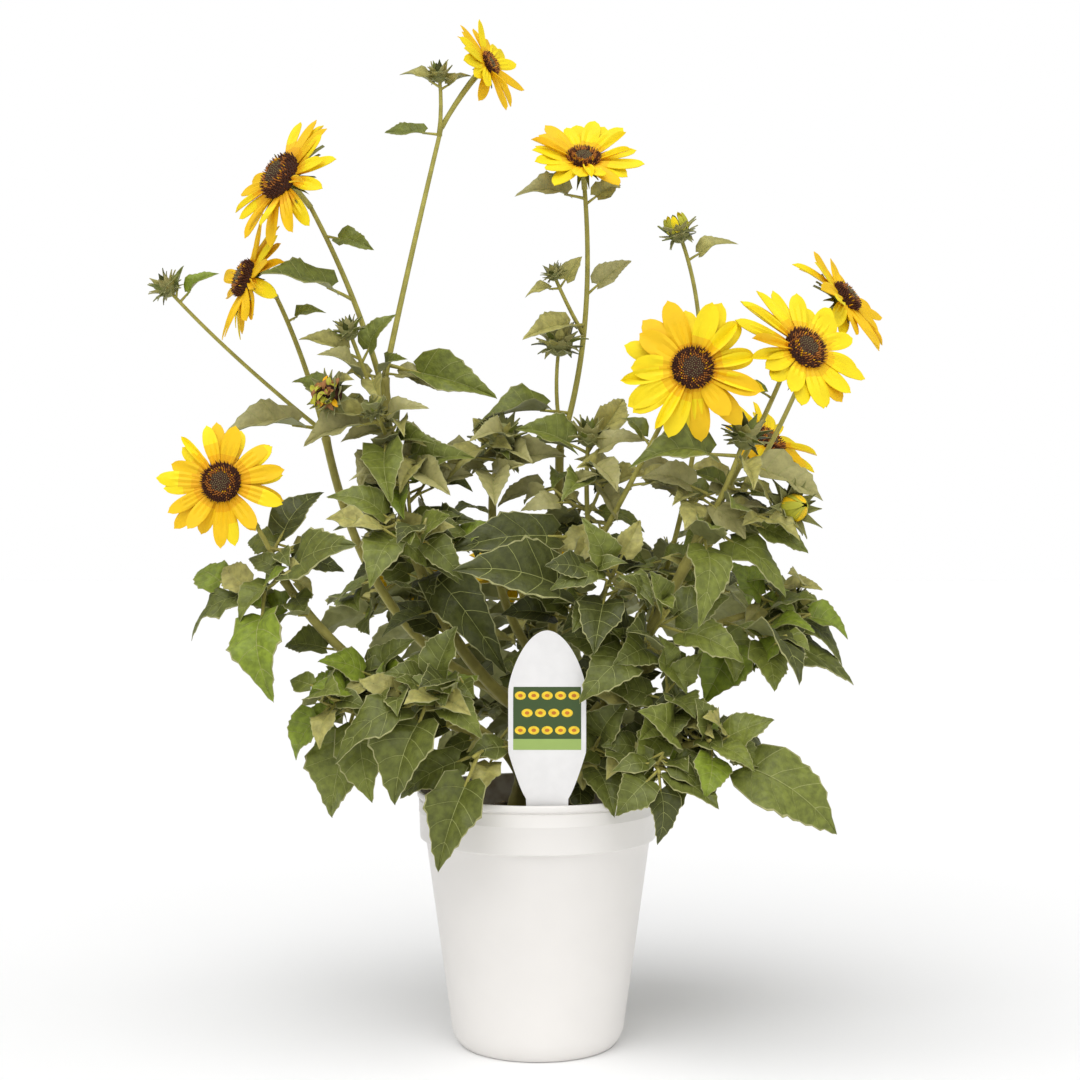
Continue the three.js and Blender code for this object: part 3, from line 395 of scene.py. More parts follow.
class Limb:
    """A limb's middle line from its foot to its tip, bowed at its middle."""

    def __init__(self, foot, tip, bow):
        self.foot = np.array(foot, float)
        self.tip = np.array(tip, float)
        self.middle = (self.foot + self.tip) / 2 + np.array(bow, float)

    def _arms(self, t):
        t = np.asarray(t, float)[..., None]
        return self.foot + (self.middle - self.foot) * t, self.middle + (self.tip - self.middle) * t, t

    def point(self, t):
        first, second, t = self._arms(t)
        return first + (second - first) * t

    def heading(self, t):
        first, second, _ = self._arms(t)
        return unit(second - first)

    def length(self):
        points = self.point(np.linspace(0, 1, 12))
        return float(np.linalg.norm(np.diff(points, axis=0), axis=1).sum())


# Shapes as arrays, so that one modelled form is repeated many times in one mesh

class Shape:
    """One modelled form: its points, its faces' corners, how many each face has, and tints."""

    def __init__(self, points, corners, sizes, tints):
        self.points = np.asarray(points, float)
        self.corners = np.asarray(corners, int)
        self.sizes = np.asarray(sizes, int)
        self.tints = np.asarray(tints, int)

    def starts(self):
        """Where each face's corners start in the list of corners."""
        return np.concatenate([[0], np.cumsum(self.sizes)[:-1]])


class Bunch:
    """Copies of shapes, gathered for the mesh of one piece."""

    def __init__(self):
        self.points, self.corners, self.sizes, self.tints = [], [], [], []
        self.count = 0

    def add(self, points, shape, tints=None):
        self.points.append(points)
        self.corners.append(shape.corners + self.count)
        self.sizes.append(shape.sizes)
        self.tints.append(shape.tints if tints is None else tints)
        self.count += len(points)

    def joined(self):
        """All the copies as one shape."""
        return Shape(*(np.concatenate(rows) for rows in (self.points, self.corners, self.sizes, self.tints)))


def deselect_all():
    for thing in bpy.context.selected_objects:
        thing.select_set(False)


def select_only(piece):
    deselect_all()
    piece.select_set(True)
    bpy.context.view_layer.objects.active = piece


def added(add, **options):
    """A new primitive at its size and place, and nothing else selected."""
    deselect_all()
    add(**options)
    bpy.ops.object.transform_apply(location=True)
    return bpy.context.object


def smooth_by_angle(piece, degrees):
    select_only(piece)
    bpy.ops.object.shade_smooth_by_angle(angle=math.radians(degrees))


def thicken(piece, thickness, material_offsets=(0, 0)):
    """Give the active piece a wall below its surface, with other materials where it has them."""
    wall = piece.modifiers.new("Thickness", "SOLIDIFY")
    wall.thickness = thickness
    wall.offset = -1
    wall.material_offset, wall.material_offset_rim = material_offsets
    bpy.ops.object.modifier_apply(modifier=wall.name)


def face_outwards():
    bpy.ops.object.mode_set(mode="EDIT")
    bpy.ops.mesh.select_all(action="SELECT")
    bpy.ops.mesh.normals_make_consistent(inside=False)
    bpy.ops.object.mode_set(mode="OBJECT")


def read_shape(thing):
    """A modelled object's mesh as a shape. The object itself isn't needed after that."""
    mesh = thing.data
    points = np.zeros(len(mesh.vertices) * 3)
    mesh.vertices.foreach_get("co", points)
    corners = np.zeros(len(mesh.loops), int)
    mesh.loops.foreach_get("vertex_index", corners)
    sizes = np.zeros(len(mesh.polygons), int)
    mesh.polygons.foreach_get("loop_total", sizes)
    bpy.data.objects.remove(thing)
    return Shape(points.reshape(-1, 3), corners, sizes, np.zeros(len(sizes), int))


def make_piece(name, bunch, materials, replaced=(), sharp=None):
    """One joined mesh from a bunch, smooth but for edges sharper than an angle."""
    whole = bunch.joined()
    mesh = bpy.data.meshes.new(name)
    mesh.vertices.add(len(whole.points))
    mesh.vertices.foreach_set("co", (whole.points * MM).astype(np.float32).ravel())
    mesh.loops.add(len(whole.corners))
    mesh.loops.foreach_set("vertex_index", whole.corners.astype(np.int32))
    mesh.polygons.add(len(whole.sizes))
    mesh.polygons.foreach_set("loop_start", whole.starts().astype(np.int32))
    mesh.polygons.foreach_set("material_index", whole.tints.astype(np.int32))
    mesh.polygons.foreach_set("use_smooth", np.ones(len(whole.sizes), bool))
    mesh.update(calc_edges=True)
    mesh.validate()
    for material in materials:
        mesh.materials.append(material)
    piece = bpy.data.objects.new(name, mesh)
    bpy.context.collection.objects.link(piece)
    if sharp is not None:
        smooth_by_angle(piece, sharp)
    settle(piece, replaced)


def settle(piece, replaced=()):
    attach(piece, BODY)
    if replaced:
        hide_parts(*replaced)


TUBE_CAPS = (0.3, 0.5)
NEAR_AXIS = 0.8


def tube(points, radii, sides, ribs=0, rib_depth=0.0):
    """A closed tube round a line of points, ribbed lengthwise, with a low point at each end."""
    points = np.asarray(points, float)
    radii = np.asarray(radii, float)
    along = np.gradient(points, axis=0)
    along /= np.linalg.norm(along, axis=1)[:, None]
    lean = along.mean(0)
    along_depth = abs(lean[1]) >= NEAR_AXIS * np.linalg.norm(lean)
    reference = np.array([1.0, 0, 0]) if along_depth else np.array([0, 1.0, 0])
    across = np.cross(along, reference)
    across /= np.linalg.norm(across, axis=1)[:, None]
    other = np.cross(along, across)
    angles = np.arange(sides) * 2 * math.pi / sides
    swell = 1 + rib_depth * np.cos(ribs * angles)
    ring = across[:, None] * (np.cos(angles) * swell)[None, :, None]
    ring = ring + other[:, None] * (np.sin(angles) * swell)[None, :, None]
    rings = points[:, None] + ring * radii[:, None, None]
    count = len(points)
    below, above = TUBE_CAPS
    caps = np.array([points[0] - along[0] * radii[0] * below, points[-1] + along[-1] * radii[-1] * above])
    vertices = np.concatenate([rings.reshape(-1, 3), caps])
    row, side = np.meshgrid(np.arange(count - 1), np.arange(sides), indexing="ij")
    after = (side + 1) % sides
    quads = np.stack([row * sides + side, row * sides + after, (row + 1) * sides + after,
                      (row + 1) * sides + side], axis=-1).reshape(-1, 4)
    side = np.arange(sides)
    after = (side + 1) % sides
    first = np.stack([np.full(sides, count * sides), after, side], axis=-1)
    last_row = (count - 1) * sides
    last = np.stack([np.full(sides, count * sides + 1), last_row + side, last_row + after], axis=-1)
    corners = np.concatenate([quads.ravel(), first.ravel(), last.ravel()])
    sizes = np.concatenate([np.full(len(quads), 4), np.full(2 * sides, 3)])
    return Shape(vertices, corners, sizes, np.zeros(len(sizes), int))


# How the plant grows: the same curves and the same rule as its solids

def node_points(node):
    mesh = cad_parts[node].data
    points = np.zeros(len(mesh.vertices) * 3)
    mesh.vertices.foreach_get("co", points)
    return points.reshape(-1, 3) / MM


class Leaf:
    """One leaf: where its petiole starts, how it lies and how long and broad it is."""

    def __init__(self, start, heading, rise, reach, breadth, droop, turn):
        self.start = np.asarray(start, float)
        self.reach, self.breadth, self.droop = reach, breadth, droop
        self.forward = direction(heading, rise)
        middle = self.start + self.forward * reach / 2
        outwards = unit(np.array([middle[0], middle[1], 0]))
        facing = np.array([0, FRONTWARDS if middle[1] < BACK_STARTS else BACKWARDS, 0])
        normal = np.array([0, 0, 1.0]) + outwards * OUTWARDS + facing + np.array([turn[0], turn[1], 0])
        self.side = unit(np.cross(self.forward, normal))
        self.up = np.cross(self.side, self.forward)
        self.group = None

    def spine(self, share):
        share = np.asarray(share, float)[..., None]
        sag = self.droop * self.reach * share ** 2
        return self.start + self.forward * self.reach * share - self.up * sag

    def tip(self):
        return self.spine(1.0)

    def samples(self):
        """Points over the blade, to see whether it would crowd its neighbours."""
        middle = self.spine(ROOM_ROWS)
        half = self.side * self.reach * (1 - KNEE) * self.breadth * ROOM_SIDE
        return np.concatenate([middle, middle[:3] + half, middle[:3] - half])


def cells_of(samples):
    return [tuple(key) for key in np.floor(samples / CELL).astype(int)]


def over_pot(samples):
    flat = np.hypot(samples[:, 0], samples[:, 1])
    low = samples[:, 2] < POT_TOP / MM + CLEAR["rim_top"]
    return (low & (flat < RIM_RADIUS / MM + CLEAR["rim"])).any() or (samples[:, 2] < LOWEST_LEAF).any()


def before_label(samples):
    low, high = np.array(LABEL_BOX[0]) / MM, np.array(LABEL_BOX[1]) / MM
    beside = (samples[:, 0] > low[0] - CLEAR["label_side"]) & (samples[:, 0] < high[0] + CLEAR["label_side"])
    behind = samples[:, 1] < high[1] + CLEAR["label_back"]
    return (beside & behind & (samples[:, 2] < high[2] + CLEAR["label_top"])).any()


def before_sky(samples):
    scale = EYE_DISTANCE / (EYE_DISTANCE + samples[:, 1])
    seen_x, seen_z = samples[:, 0] * scale, EYE_HEIGHT + (samples[:, 2] - EYE_HEIGHT) * scale
    return any((np.hypot(seen_x - x, seen_z - z) < radius).any() for x, z, radius in SKY)


def over_bloom(samples):
    """Whether a point is in a bloom, or before one that faces the front."""
    for bloom in BLOOMS.values():
        centre, radius = np.array(bloom["centre"], float), bloom["radius"]
        if (np.linalg.norm(samples - centre, axis=1) < radius * CLEAR["bloom"]).any():
            return True
        away = np.hypot(samples[:, 0] - centre[0], samples[:, 2] - centre[2])
        if bloom["faces"][1] < 0 and ((samples[:, 1] < centre[1]) & (away < radius)).any():
            return True
    return False


class Plant:
    """Every stem, leaf and bud of the plant, grown once and shared by the pieces."""

    def __init__(self, fullness):
        self.limbs, self.leaves, self.buds, self.shoots = {}, [], [], []
        self.taken = set()
        self.fullness = fullness
        self._grow_limbs()
        self._grow_masses()
        self._grow_fine_shoots()
        self._grow_inner_leaves()

    def _grow_limbs(self):
        for name, (on, at, tip, bow, _) in BOUGHS.items():
            self.limbs[name] = Limb(self.limbs[on].point(at) if on else at, tip, bow)
        for name, mass in MASSES.items():
            on, at, tip, bow, _ = mass["stem"]
            stem = self.limbs[name] = Limb(self.limbs[on].point(at), tip, bow)
            for twig_name, twig in mass.get("twigs", {}).items():
                at, tip, bow = twig["stem"]
                self.limbs[f"{name}/{twig_name}"] = Limb(stem.point(at), tip, bow)

    def _take(self, leaf, name):
        leaf.group = name
        self.leaves.append(leaf)
        self.taken.update(cells_of(leaf.samples()))

    def _grow_masses(self):
        for i, (name, mass) in enumerate(MASSES.items()):
            random = random_from(MASS_SEED + i)
            solid = node_points(name)
            twigs = [(name, mass)] + [(f"{name}/{key}", twig) for key, twig in mass.get("twigs", {}).items()]
            for limb_name, twig in twigs:
                rule = self._rule_leaves(twig.get("rule", 0), random)
                for share, *lie in twig.get("leaves", []) + rule:
                    self._grow_leaf(name, self.limbs[limb_name].point(share), *lie, random, solid)
                if "bud" in twig:
                    self.buds.append((limb_name, twig["bud"]))

    def _tries(self, start, heading, rise, reach, random):
        """One leaf of its own breadth, droop and turn, with each of the swings and lifts."""
        breadth = between(BREADTH, random)
        droop = between(DROOP, random)
        turn = (between(TURN, random), between(TURN, random))
        for swing, lift in TRIES:
            yield Leaf(start, heading + swing, rise + lift, reach, breadth, droop, turn)

    def _grow_leaf(self, name, start, heading, rise, reach, random, solid):
        """The leaf that the solid has: the first of the tries whose tip is one of its points."""
        for leaf in self._tries(start, heading, rise, reach, random):
            if np.linalg.norm(solid - leaf.tip(), axis=1).min() < SAME_TIP:
                self._take(leaf, name)
                return

    def _rule_leaves(self, count, random):
        first, last = RULE_LEAF["share"]
        return [(
            first + (last - first) * (i + random()) / count,
            i * RULE_LEAF["turn"] + 360 * random(),
            between(RULE_LEAF["rise"], random),
            between(RULE_LEAF["reach"], random),
        ) for i in range(count)]

    def _fits(self, leaf, low, high):
        """Whether a finer leaf stays in its mass's reach and clear of what is there."""
        samples = leaf.samples()
        if (samples < low).any() or (samples > high).any():
            return False
        if over_pot(samples) or before_label(samples) or before_sky(samples) or over_bloom(samples):
            return False
        keys = cells_of(samples)
        return sum(key in self.taken for key in keys) <= CROWDED * len(keys)

    def _reach_of(self, name):
        points = node_points(name)
        return points.min(0) - REACH_MARGIN, points.max(0) + REACH_MARGIN

    def _grow_fine_shoots(self):
        """Finer shoots on each mass's stems, each with a few smaller leaves."""
        for i, (name, mass) in enumerate(MASSES.items()):
            random = random_from(FINE_SEED + i)
            low, high = self._reach_of(name)
            stems = [name] + [f"{name}/{key}" for key in mass.get("twigs", {})]
            count = int(round(mass.get("fine", 0) * self.fullness))
            for k in range(count):
                stem = self.limbs[stems[k % len(stems)]]
                share = between(FINE_SHOOT["share"], random)
                heading = k * RULE_LEAF["turn"] + FINE_SHOOT["uneven"] * random()
                rise = between(FINE_SHOOT["rise"], random)
                length = between(FINE_SHOOT["length"], random)
                foot = stem.point(share)
                sag = [0, 0, -length * FINE_SHOOT["sag"]]
                shoot = Limb(foot, foot + direction(heading, rise) * length, sag)
                grown = 0
                leaves = int(round(between(FINE_SHOOT["leaves"], random)))
                for n in range(leaves + FINE_SHOOT["spare"]):
                    at = FINE_LEAF["first"] + (1 - FINE_LEAF["first"]) * n / (leaves + 1)
                    turn = heading + (n - 1) * FINE_LEAF["turn"] + FINE_LEAF["uneven"] * random()
                    grown += self._try_leaf(name, shoot.point(at), turn, FINE_LEAF, random, low, high)
                if grown:
                    self.shoots.append(shoot)

    def _try_leaf(self, name, start, heading, kind, random, low, high):
        rise = between(kind["rise"], random)
        reach = between(kind["reach"], random)
        for leaf in self._tries(start, heading, rise, reach, random):
            if self._fits(leaf, low, high):
                self._take(leaf, name)
                return 1
        return 0

    def _grow_inner_leaves(self):
        """Leaves on the boughs themselves, inside the reach of the crown round them."""
        crown = [(*self._reach_of(name), name) for name, mass in MASSES.items() if mass.get("fine")]
        for i, name in enumerate(BOUGHS):
            random = random_from(INNER_SEED + i)
            limb = self.limbs[name]
            first, last = INNER_LEAF["share"]
            count = int(limb.length() / INNER_LEAF["spacing"] * self.fullness)
            for k in range(count):
                start = limb.point(first + (last - first) * (k + random()) / count)
                heading = k * RULE_LEAF["turn"] + INNER_LEAF["uneven"] * random()
                for low, high, mass_name in crown:
                    if (start > low).all() and (start < high).all():
                        self._try_leaf(mass_name, start, heading, INNER_LEAF, random, low, high)
                        break


@functools.lru_cache(maxsize=1)
def plant():
    return Plant(bpy.context.scene.sunflower_foliage.fullness)


# Materials

NOISE_DETAIL = 3.0


class Finish:
    """A procedural material: a mottled colour, and a bump, both fixed to the piece."""

    def __init__(self, name, roughness, specular):
        self.material = bpy.data.materials.new(name)
        self.material.use_nodes = True
        self.nodes = self.material.node_tree.nodes
        self.links = self.material.node_tree.links
        self.shader = self.nodes["Principled BSDF"]
        self.shader.inputs["Roughness"].default_value = roughness
        self.shader.inputs["Specular IOR Level"].default_value = specular
        self.place = self.nodes.new("ShaderNodeTexCoord").outputs["Object"]

    def noise(self, scale):
        noise = self.nodes.new("ShaderNodeTexNoise")
        noise.inputs["Scale"].default_value = scale
        noise.inputs["Detail"].default_value = NOISE_DETAIL
        self.links.new(self.place, noise.inputs["Vector"])
        return noise.outputs["Fac"]

    def mottle(self, colour, other, scale, low=0.35, high=0.65):
        ramp = self.nodes.new("ShaderNodeValToRGB")
        ramp.color_ramp.elements[0].position = low
        ramp.color_ramp.elements[0].color = (*colour, 1.0)
        ramp.color_ramp.elements[1].position = high
        ramp.color_ramp.elements[1].color = (*other, 1.0)
        self.links.new(self.noise(scale), ramp.inputs["Fac"])
        self.links.new(ramp.outputs["Color"], self.shader.inputs["Base Color"])

    def bump(self, scale, depth, strength=0.5):
        bump = self.nodes.new("ShaderNodeBump")
        bump.inputs["Strength"].default_value = strength
        bump.inputs["Distance"].default_value = depth
        self.links.new(self.noise(scale), bump.inputs["Height"])
        self.links.new(bump.outputs["Normal"], self.shader.inputs["Normal"])

    def uneven_gloss(self, scale, low, high):
        spread = self.nodes.new("ShaderNodeMapRange")
        spread.inputs["To Min"].default_value = low
        spread.inputs["To Max"].default_value = high
        self.links.new(self.noise(scale), spread.inputs["Value"])
        self.links.new(spread.outputs["Result"], self.shader.inputs["Roughness"])


def shade(colour, factor):
    return tuple(channel * factor for channel in colour)


def blend(colour, other, share):
    return tuple(a + (b - a) * share for a, b in zip(colour, other))


# Each skin's roughness and specular level, its mottle's scale and contrast, its bump's scale and
# depth, and how much pale down it has
SKINS = {
    "leaf": (0.45, 0.32, 210.0, 0.22, 430.0, 0.0011, 0.03),
    # The skin of the painted sheen's grey green, with a weaker mottle
    "sheen_grey_leaf": (0.45, 0.32, 210.0, 0.11, 430.0, 0.0011, 0.03),
    "underside": (0.7, 0.25, 190.0, 0.13, 1500.0, 0.0002, 0.3),
    "vein": (0.6, 0.3, 260.0, 0.13, 900.0, 0.0001, 0),
    "margin": (0.7, 0.3, 260.0, 0.13, 900.0, 0.0001, 0),
    "young_stem": (0.6, 0.3, 160.0, 0.13, 1100.0, 0.0003, 0.3),
    "stem": (0.6, 0.3, 150.0, 0.13, 1000.0, 0.0003, 0.3),
    "old_stem": (0.62, 0.3, 140.0, 0.13, 1000.0, 0.0003, 0.3),
    "petal": (0.55, 0.25, 90.0, 0.04, 1300.0, 0.00012, 0),
    "floret": (0.7, 0.25, 700.0, 0.13, 2200.0, 0.0002, 0),
    "bark": (0.9, 0.2, 600.0, 0.13, 1800.0, 0.0004, 0),
    "print": (0.45, 0.4, 300.0, 0.13, 1500.0, 0.00003, 0),
}
DOWN_ROUGHNESS = 0.35
DOWN_TINT = (0.9, 0.95, 0.75, 1.0)


@functools.lru_cache(maxsize=None)
def skin_finish(name, colour, skin):
    """Two close tones of a colour and a fine bump, with a pale down where the skin has one."""
    roughness, specular, scale, contrast, bump_scale, depth, down = SKINS[skin]
    finish = Finish(name, roughness, specular)
    finish.mottle(shade(colour, 1 - contrast), shade(colour, 1 + contrast), scale)
    finish.bump(bump_scale, depth)
    if down:
        finish.shader.inputs["Sheen Weight"].default_value = down
        finish.shader.inputs["Sheen Roughness"].default_value = DOWN_ROUGHNESS
        finish.shader.inputs["Sheen Tint"].default_value = DOWN_TINT
    return finish.material


def skin_finishes(colours, skin):
    return [skin_finish(name, tuple(colour), skin) for name, colour in colours.items()]


# A leaf's tints, in the order of its finishes. The deep green is painted shade, and the mid green is half-way
# to it
# The grey green is painted sheen: a lighter, greyer copy of the green for the upturned leaves in the light
GREEN, DEEP_SHADE, GREY_SHEEN, MIDDLE, YOUNG, LIT, UNDERSIDE, VEIN, EDGE = range(9)


def leaf_finishes():
    """The upper greens, the underside, the veins and the margin, in the order of the tints."""
    colours = bpy.context.scene.sunflower_foliage
    return [
        skin_finish("leaf_green", tuple(colours.green), "leaf"),
        # The deep green is painted shade, and the mid green below is half-way to it
        skin_finish("leaf_painted_shade_green", tuple(colours.shaded_deep_green), "leaf"),
        # Painted sheen
        skin_finish("leaf_painted_sheen_green", tuple(colours.sheen_grey_green), "sheen_grey_leaf"),
        skin_finish("leaf_half_shade_green", blend(colours.green, colours.shaded_deep_green, 0.5), "leaf"),
        skin_finish("leaf_young_green", tuple(colours.young_green), "leaf"),
        skin_finish("leaf_lit_green", tuple(colours.lit_green), "leaf"),
        skin_finish("leaf_underside", tuple(colours.underside), "underside"),
        skin_finish("leaf_vein", tuple(colours.vein), "vein"),
        skin_finish("leaf_margin", tuple(colours.margin), "margin"),
    ]


# A stem's tints, in the order of its finishes. The olive is painted shade, a darker copy of the pale stalks'
# colour for the main stem, and the middle tint is half-way to it
PALE, HALF_SHADED_STEM, SHADED_OLIVE = range(3)


def stem_finishes():
    stems = bpy.context.scene.sunflower_stems
    return [
        skin_finish("stem_pale", tuple(stems.pale), "young_stem"),
        skin_finish("stem_half_shaded", blend(stems.pale, stems.olive, 0.5), "stem"),
        skin_finish("stem_shaded_olive", tuple(stems.olive), "old_stem"),
    ]


# Blades: leaves, petals and bracts, each modelled once and then bent to its place

MARGIN_COLUMNS = 1.5


def modelled_blade(rows, columns, outline, thickness, margin=False):
    """A closed blade, one unit long and one wide, from a grid with the thickness below it."""
    blade = added(bpy.ops.mesh.primitive_grid_add, x_subdivisions=columns, y_subdivisions=rows, size=2)
    inner_columns = 1 - MARGIN_COLUMNS / columns
    for polygon in blade.data.polygons:
        polygon.material_index = 2 if margin and abs(polygon.center.x) > inner_columns else 0
    for vertex in blade.data.vertices:
        vertex.co = outline(vertex.co.x, (vertex.co.y + 1) / 2)
    for _ in range(3):
        blade.data.materials.append(None)
    thicken(blade, thickness, (1, 2))
    sides = np.array([polygon.material_index for polygon in blade.data.polygons])
    shape = read_shape(blade)
    shape.tints = np.choose(sides, (GREEN, UNDERSIDE, EDGE))
    return shape


# A leaf's outline. Each row of its grid is a line from the midrib to the margin that sweeps
# forward as a side vein does, so that both the half width and the sweep go by the row's
# place on the midrib: broad and heart-shaped at the base, drawn out to a point
LEAF_HALF = ((0, 0.42), (0.03, 0.8), (0.075, 0.98), (0.13, 1.0), (0.25, 0.9), (0.5, 0.62),
             (0.75, 0.31), (1, 0))
VEIN_SWEEP = ((0, -0.09), (0.03, -0.02), (0.075, 0.17), (0.13, 0.24), (0.25, 0.25), (0.5, 0.19),
              (0.75, 0.1), (1, 0))
ROW_CROWDING = 1.35
COLUMN_SPREAD = ((0, 0), (0.25, 0.33), (0.5, 0.65), (0.66, 0.935), (0.75, 0.962), (1, 1))
VEIN_CURVE = 1.3
TOOTH = 0.05
SMALL_TOOTH = 0.03
TOOTH_LEAN = 0.02
TOOTH_REACH = 6
UNEVEN = {"mean": 0.75, "swing": 0.75, "by_row": 2.3, "by_kind": 1.9, "by_side": 2}
PUFF = 0.03
PUFF_WIDTH = 1.02
PUFF_CREST = 0.7
PAIRS = 3
FIRST_PAIR = 2

# Half thicknesses in shares of the leaf's length, for a large and for a small leaf: the midrib at
# its foot and tip, the first pair of side veins at its foot, the other pairs, and their tips
VEINS = {
    LEAF_ROWS: {"midrib": (0.0095, 0.0035), "first": 0.0055, "others": 0.0045},
    SMALL_ROWS: {"midrib": (0.018, 0.006), "first": 0.009, "others": 0.009},
}
VEIN_TIP = 0.0025
VEIN_PLACES = (0, 0.25, 0.5, 0.75, 0.94)
VEIN_LIFT = 0.001
VEIN_SIDES = 3
BLADE = {LEAF_ROWS: 0.011, SMALL_ROWS: 0.016}


def by_place(curve, v):
    return float(np.interp(v, *zip(*curve)))


def leaf_point(u, row, rows, kind):
    """A point of a leaf's upper face, by its row and by its share of the half width."""
    u = math.copysign(by_place(COLUMN_SPREAD, abs(u)), u)
    v = (row / rows) ** ROW_CROWDING
    margin = abs(u) ** TOOTH_REACH
    phase = UNEVEN["by_row"] * row + UNEVEN["by_kind"] * kind + (UNEVEN["by_side"] if u > 0 else 0)
    uneven = UNEVEN["mean"] + UNEVEN["swing"] * math.sin(phase)
    toothed = 0 < row < rows
    depth = TOOTH if rows == LEAF_ROWS else SMALL_TOOTH
    tooth = depth * uneven * margin * (1 if row % 2 else -1) if toothed else 0
    half = by_place(LEAF_HALF, v) * (1 + tooth) / 2
    along = v + by_place(VEIN_SWEEP, v) * abs(u) ** VEIN_CURVE
    along += TOOTH_LEAN * margin * uneven if toothed and row % 2 else 0
    swell = abs(math.sin(math.pi * (row - FIRST_PAIR) / PAIRS))
    puff = PUFF * swell * math.sin(math.pi * min(abs(u) * PUFF_WIDTH, 1)) ** PUFF_CREST
    return Vector((u * half, along, puff))


def leaf_shape(rows, columns, kind):
    """The blade with its midrib and its pairs of side veins."""
    def outline(u, v):
        return leaf_point(u, round(v * rows), rows, kind)

    bunch = Bunch()
    blade = modelled_blade(rows, columns, outline, BLADE[rows], True)
    bunch.add(blade.points, blade)
    veins = VEINS[rows]
    lines = [([leaf_point(0, row, rows, kind) for row in range(rows)], *veins["midrib"])]
    for pair in range(FIRST_PAIR, rows - 2, PAIRS):
        for side in (-1, 1):
            line = [leaf_point(side * u, pair, rows, kind) for u in VEIN_PLACES]
            lines.append((line, veins["first" if pair == FIRST_PAIR else "others"], VEIN_TIP))
    for line, foot, tip in lines:
        points = np.array(line) + [0, 0, VEIN_LIFT]
        vein = tube(points, np.linspace(foot, tip, len(points)), VEIN_SIDES)
        vein.tints[:] = VEIN
        bunch.add(vein.points, vein)
    return bunch.joined()


LEAF_KINDS = 3


@functools.lru_cache(maxsize=None)
def leaf_shapes():
    large = [leaf_shape(LEAF_ROWS, LEAF_COLUMNS, kind) for kind in range(LEAF_KINDS)]
    return large, leaf_shape(SMALL_ROWS, SMALL_COLUMNS, 0)


# A petal's outline in shares of its length and width
PETAL_ROWS = 9
PETAL_COLUMNS = 6
PETAL_THICKNESS = 0.018
PETAL_CROWDING = 1.35
PETAL_CLAW = 0.5
PETAL_WIDEST = 0.56
PETAL_POINT = 0.42
PETAL_TIP = 0.985
PETAL_NOTCH = 0.04
PETAL_RIDGES = 3
PETAL_RIDGE = 0.016
RIDGE_START = 0.15


def petal_point(u, v):
    """A petal narrows to its claw and to its soft point, and has long ridges."""
    v = 1 - (1 - v) ** PETAL_CROWDING
    if v < PETAL_WIDEST:
        half = PETAL_CLAW + (1 - PETAL_CLAW) * math.sin(math.pi / 2 * v / PETAL_WIDEST)
    else:
        share = (v - PETAL_WIDEST) / (1 - PETAL_WIDEST)
        half = math.cos(math.pi / 2 * PETAL_TIP * share) ** PETAL_POINT
    ridge = PETAL_RIDGE * math.cos(PETAL_RIDGES * math.pi * u) * math.sin(math.pi * min(v + RIDGE_START, 1))
    return Vector((u * half / 2, v - PETAL_NOTCH * abs(u) * v ** 4, ridge))


@functools.lru_cache(maxsize=None)
def petal_shape():
    return modelled_blade(PETAL_ROWS, PETAL_COLUMNS, petal_point, PETAL_THICKNESS)


# A bract's outline in shares of its length and width
BRACT_ROWS = 5
BRACT_COLUMNS = 2
BRACT_THICKNESS = 0.04
BRACT_FOOT = 0.6
BRACT_SWELL = 2.2
BRACT_WIDEST = 1.25
BRACT_POINT = 1.1
BRACT_TIP = 0.03
BRACT_CREASE = 0.05


def bract_point(u, v):
    """A bract: widest low down, folded along its middle and drawn out to a long point."""
    half = min(BRACT_FOOT + BRACT_SWELL * v, BRACT_WIDEST) * (1 - v) ** BRACT_POINT if v < 1 else BRACT_TIP
    return Vector((u * half / 2, v, BRACT_CREASE * abs(u)))


@functools.lru_cache(maxsize=None)
def bract_shape():
    return modelled_blade(BRACT_ROWS, BRACT_COLUMNS, bract_point, BRACT_THICKNESS)


RIPPLE_EDGE = 1.5
TWIST_FROM = 0.3


def bend(shape, spine, side, up, length, width, fold=0.0, twist=0.0, ripple=None):
    """A blade's points laid along the spine that its own points were given."""
    x, y, z = shape.points.T
    across = x * width
    lift = z * length + fold * np.abs(across)
    if ripple:
        depth, waves, phase = ripple
        edge = (2 * np.abs(x)) ** RIPPLE_EDGE
        lift = lift + depth * length * edge * np.sin(2 * math.pi * waves * y + np.where(x > 0, phase, 0))
    turn = twist * (y - TWIST_FROM)
    flat = across * np.cos(turn) - lift * np.sin(turn)
    high = across * np.sin(turn) + lift * np.cos(turn)
    return spine + flat[:, None] * side + high[:, None] * up


def sagging(base, forward, up, length, droop, y):
    y = y[:, None]
    return base + forward * length * y - up * droop * length * y ** 2


def lay_blade(bunch, shape, base, forward, facing, length, width, droop, tints, **bending):
    side = unit(np.cross(forward, facing))
    up = np.cross(side, forward)
    spine = sagging(base, forward, up, length, droop, shape.points[:, 1])
    bunch.add(bend(shape, spine, side, up, length, width, **bending), shape, tints)


# Where a leaf starts, in millimetres, tells how it lies: low down, high up, or low and outside
LOW_LEAF = 290
HIGH_LEAF = 370
OUTSIDE = {"beyond": 95, "below": 310}
HIGH_FACING = (0.0, -0.85, 0.55)
HIGH_KEPT = 1.3
HIGH_FOLD = 0.4
HIGH_WIDTH = 0.9

# The limits between which each leaf's own bends are drawn. A ripple is a depth, waves and a phase
LIE = {"curl": (0.0, 0.32), "arch": (0.0, 0.13), "width": (0.82, 1.0), "fold": (0.0, 0.5),
       "twist": (-0.4, 0.4), "ripple": ((0.04, 0.11), (0.9, 2.0), (1.5, 4.5))}

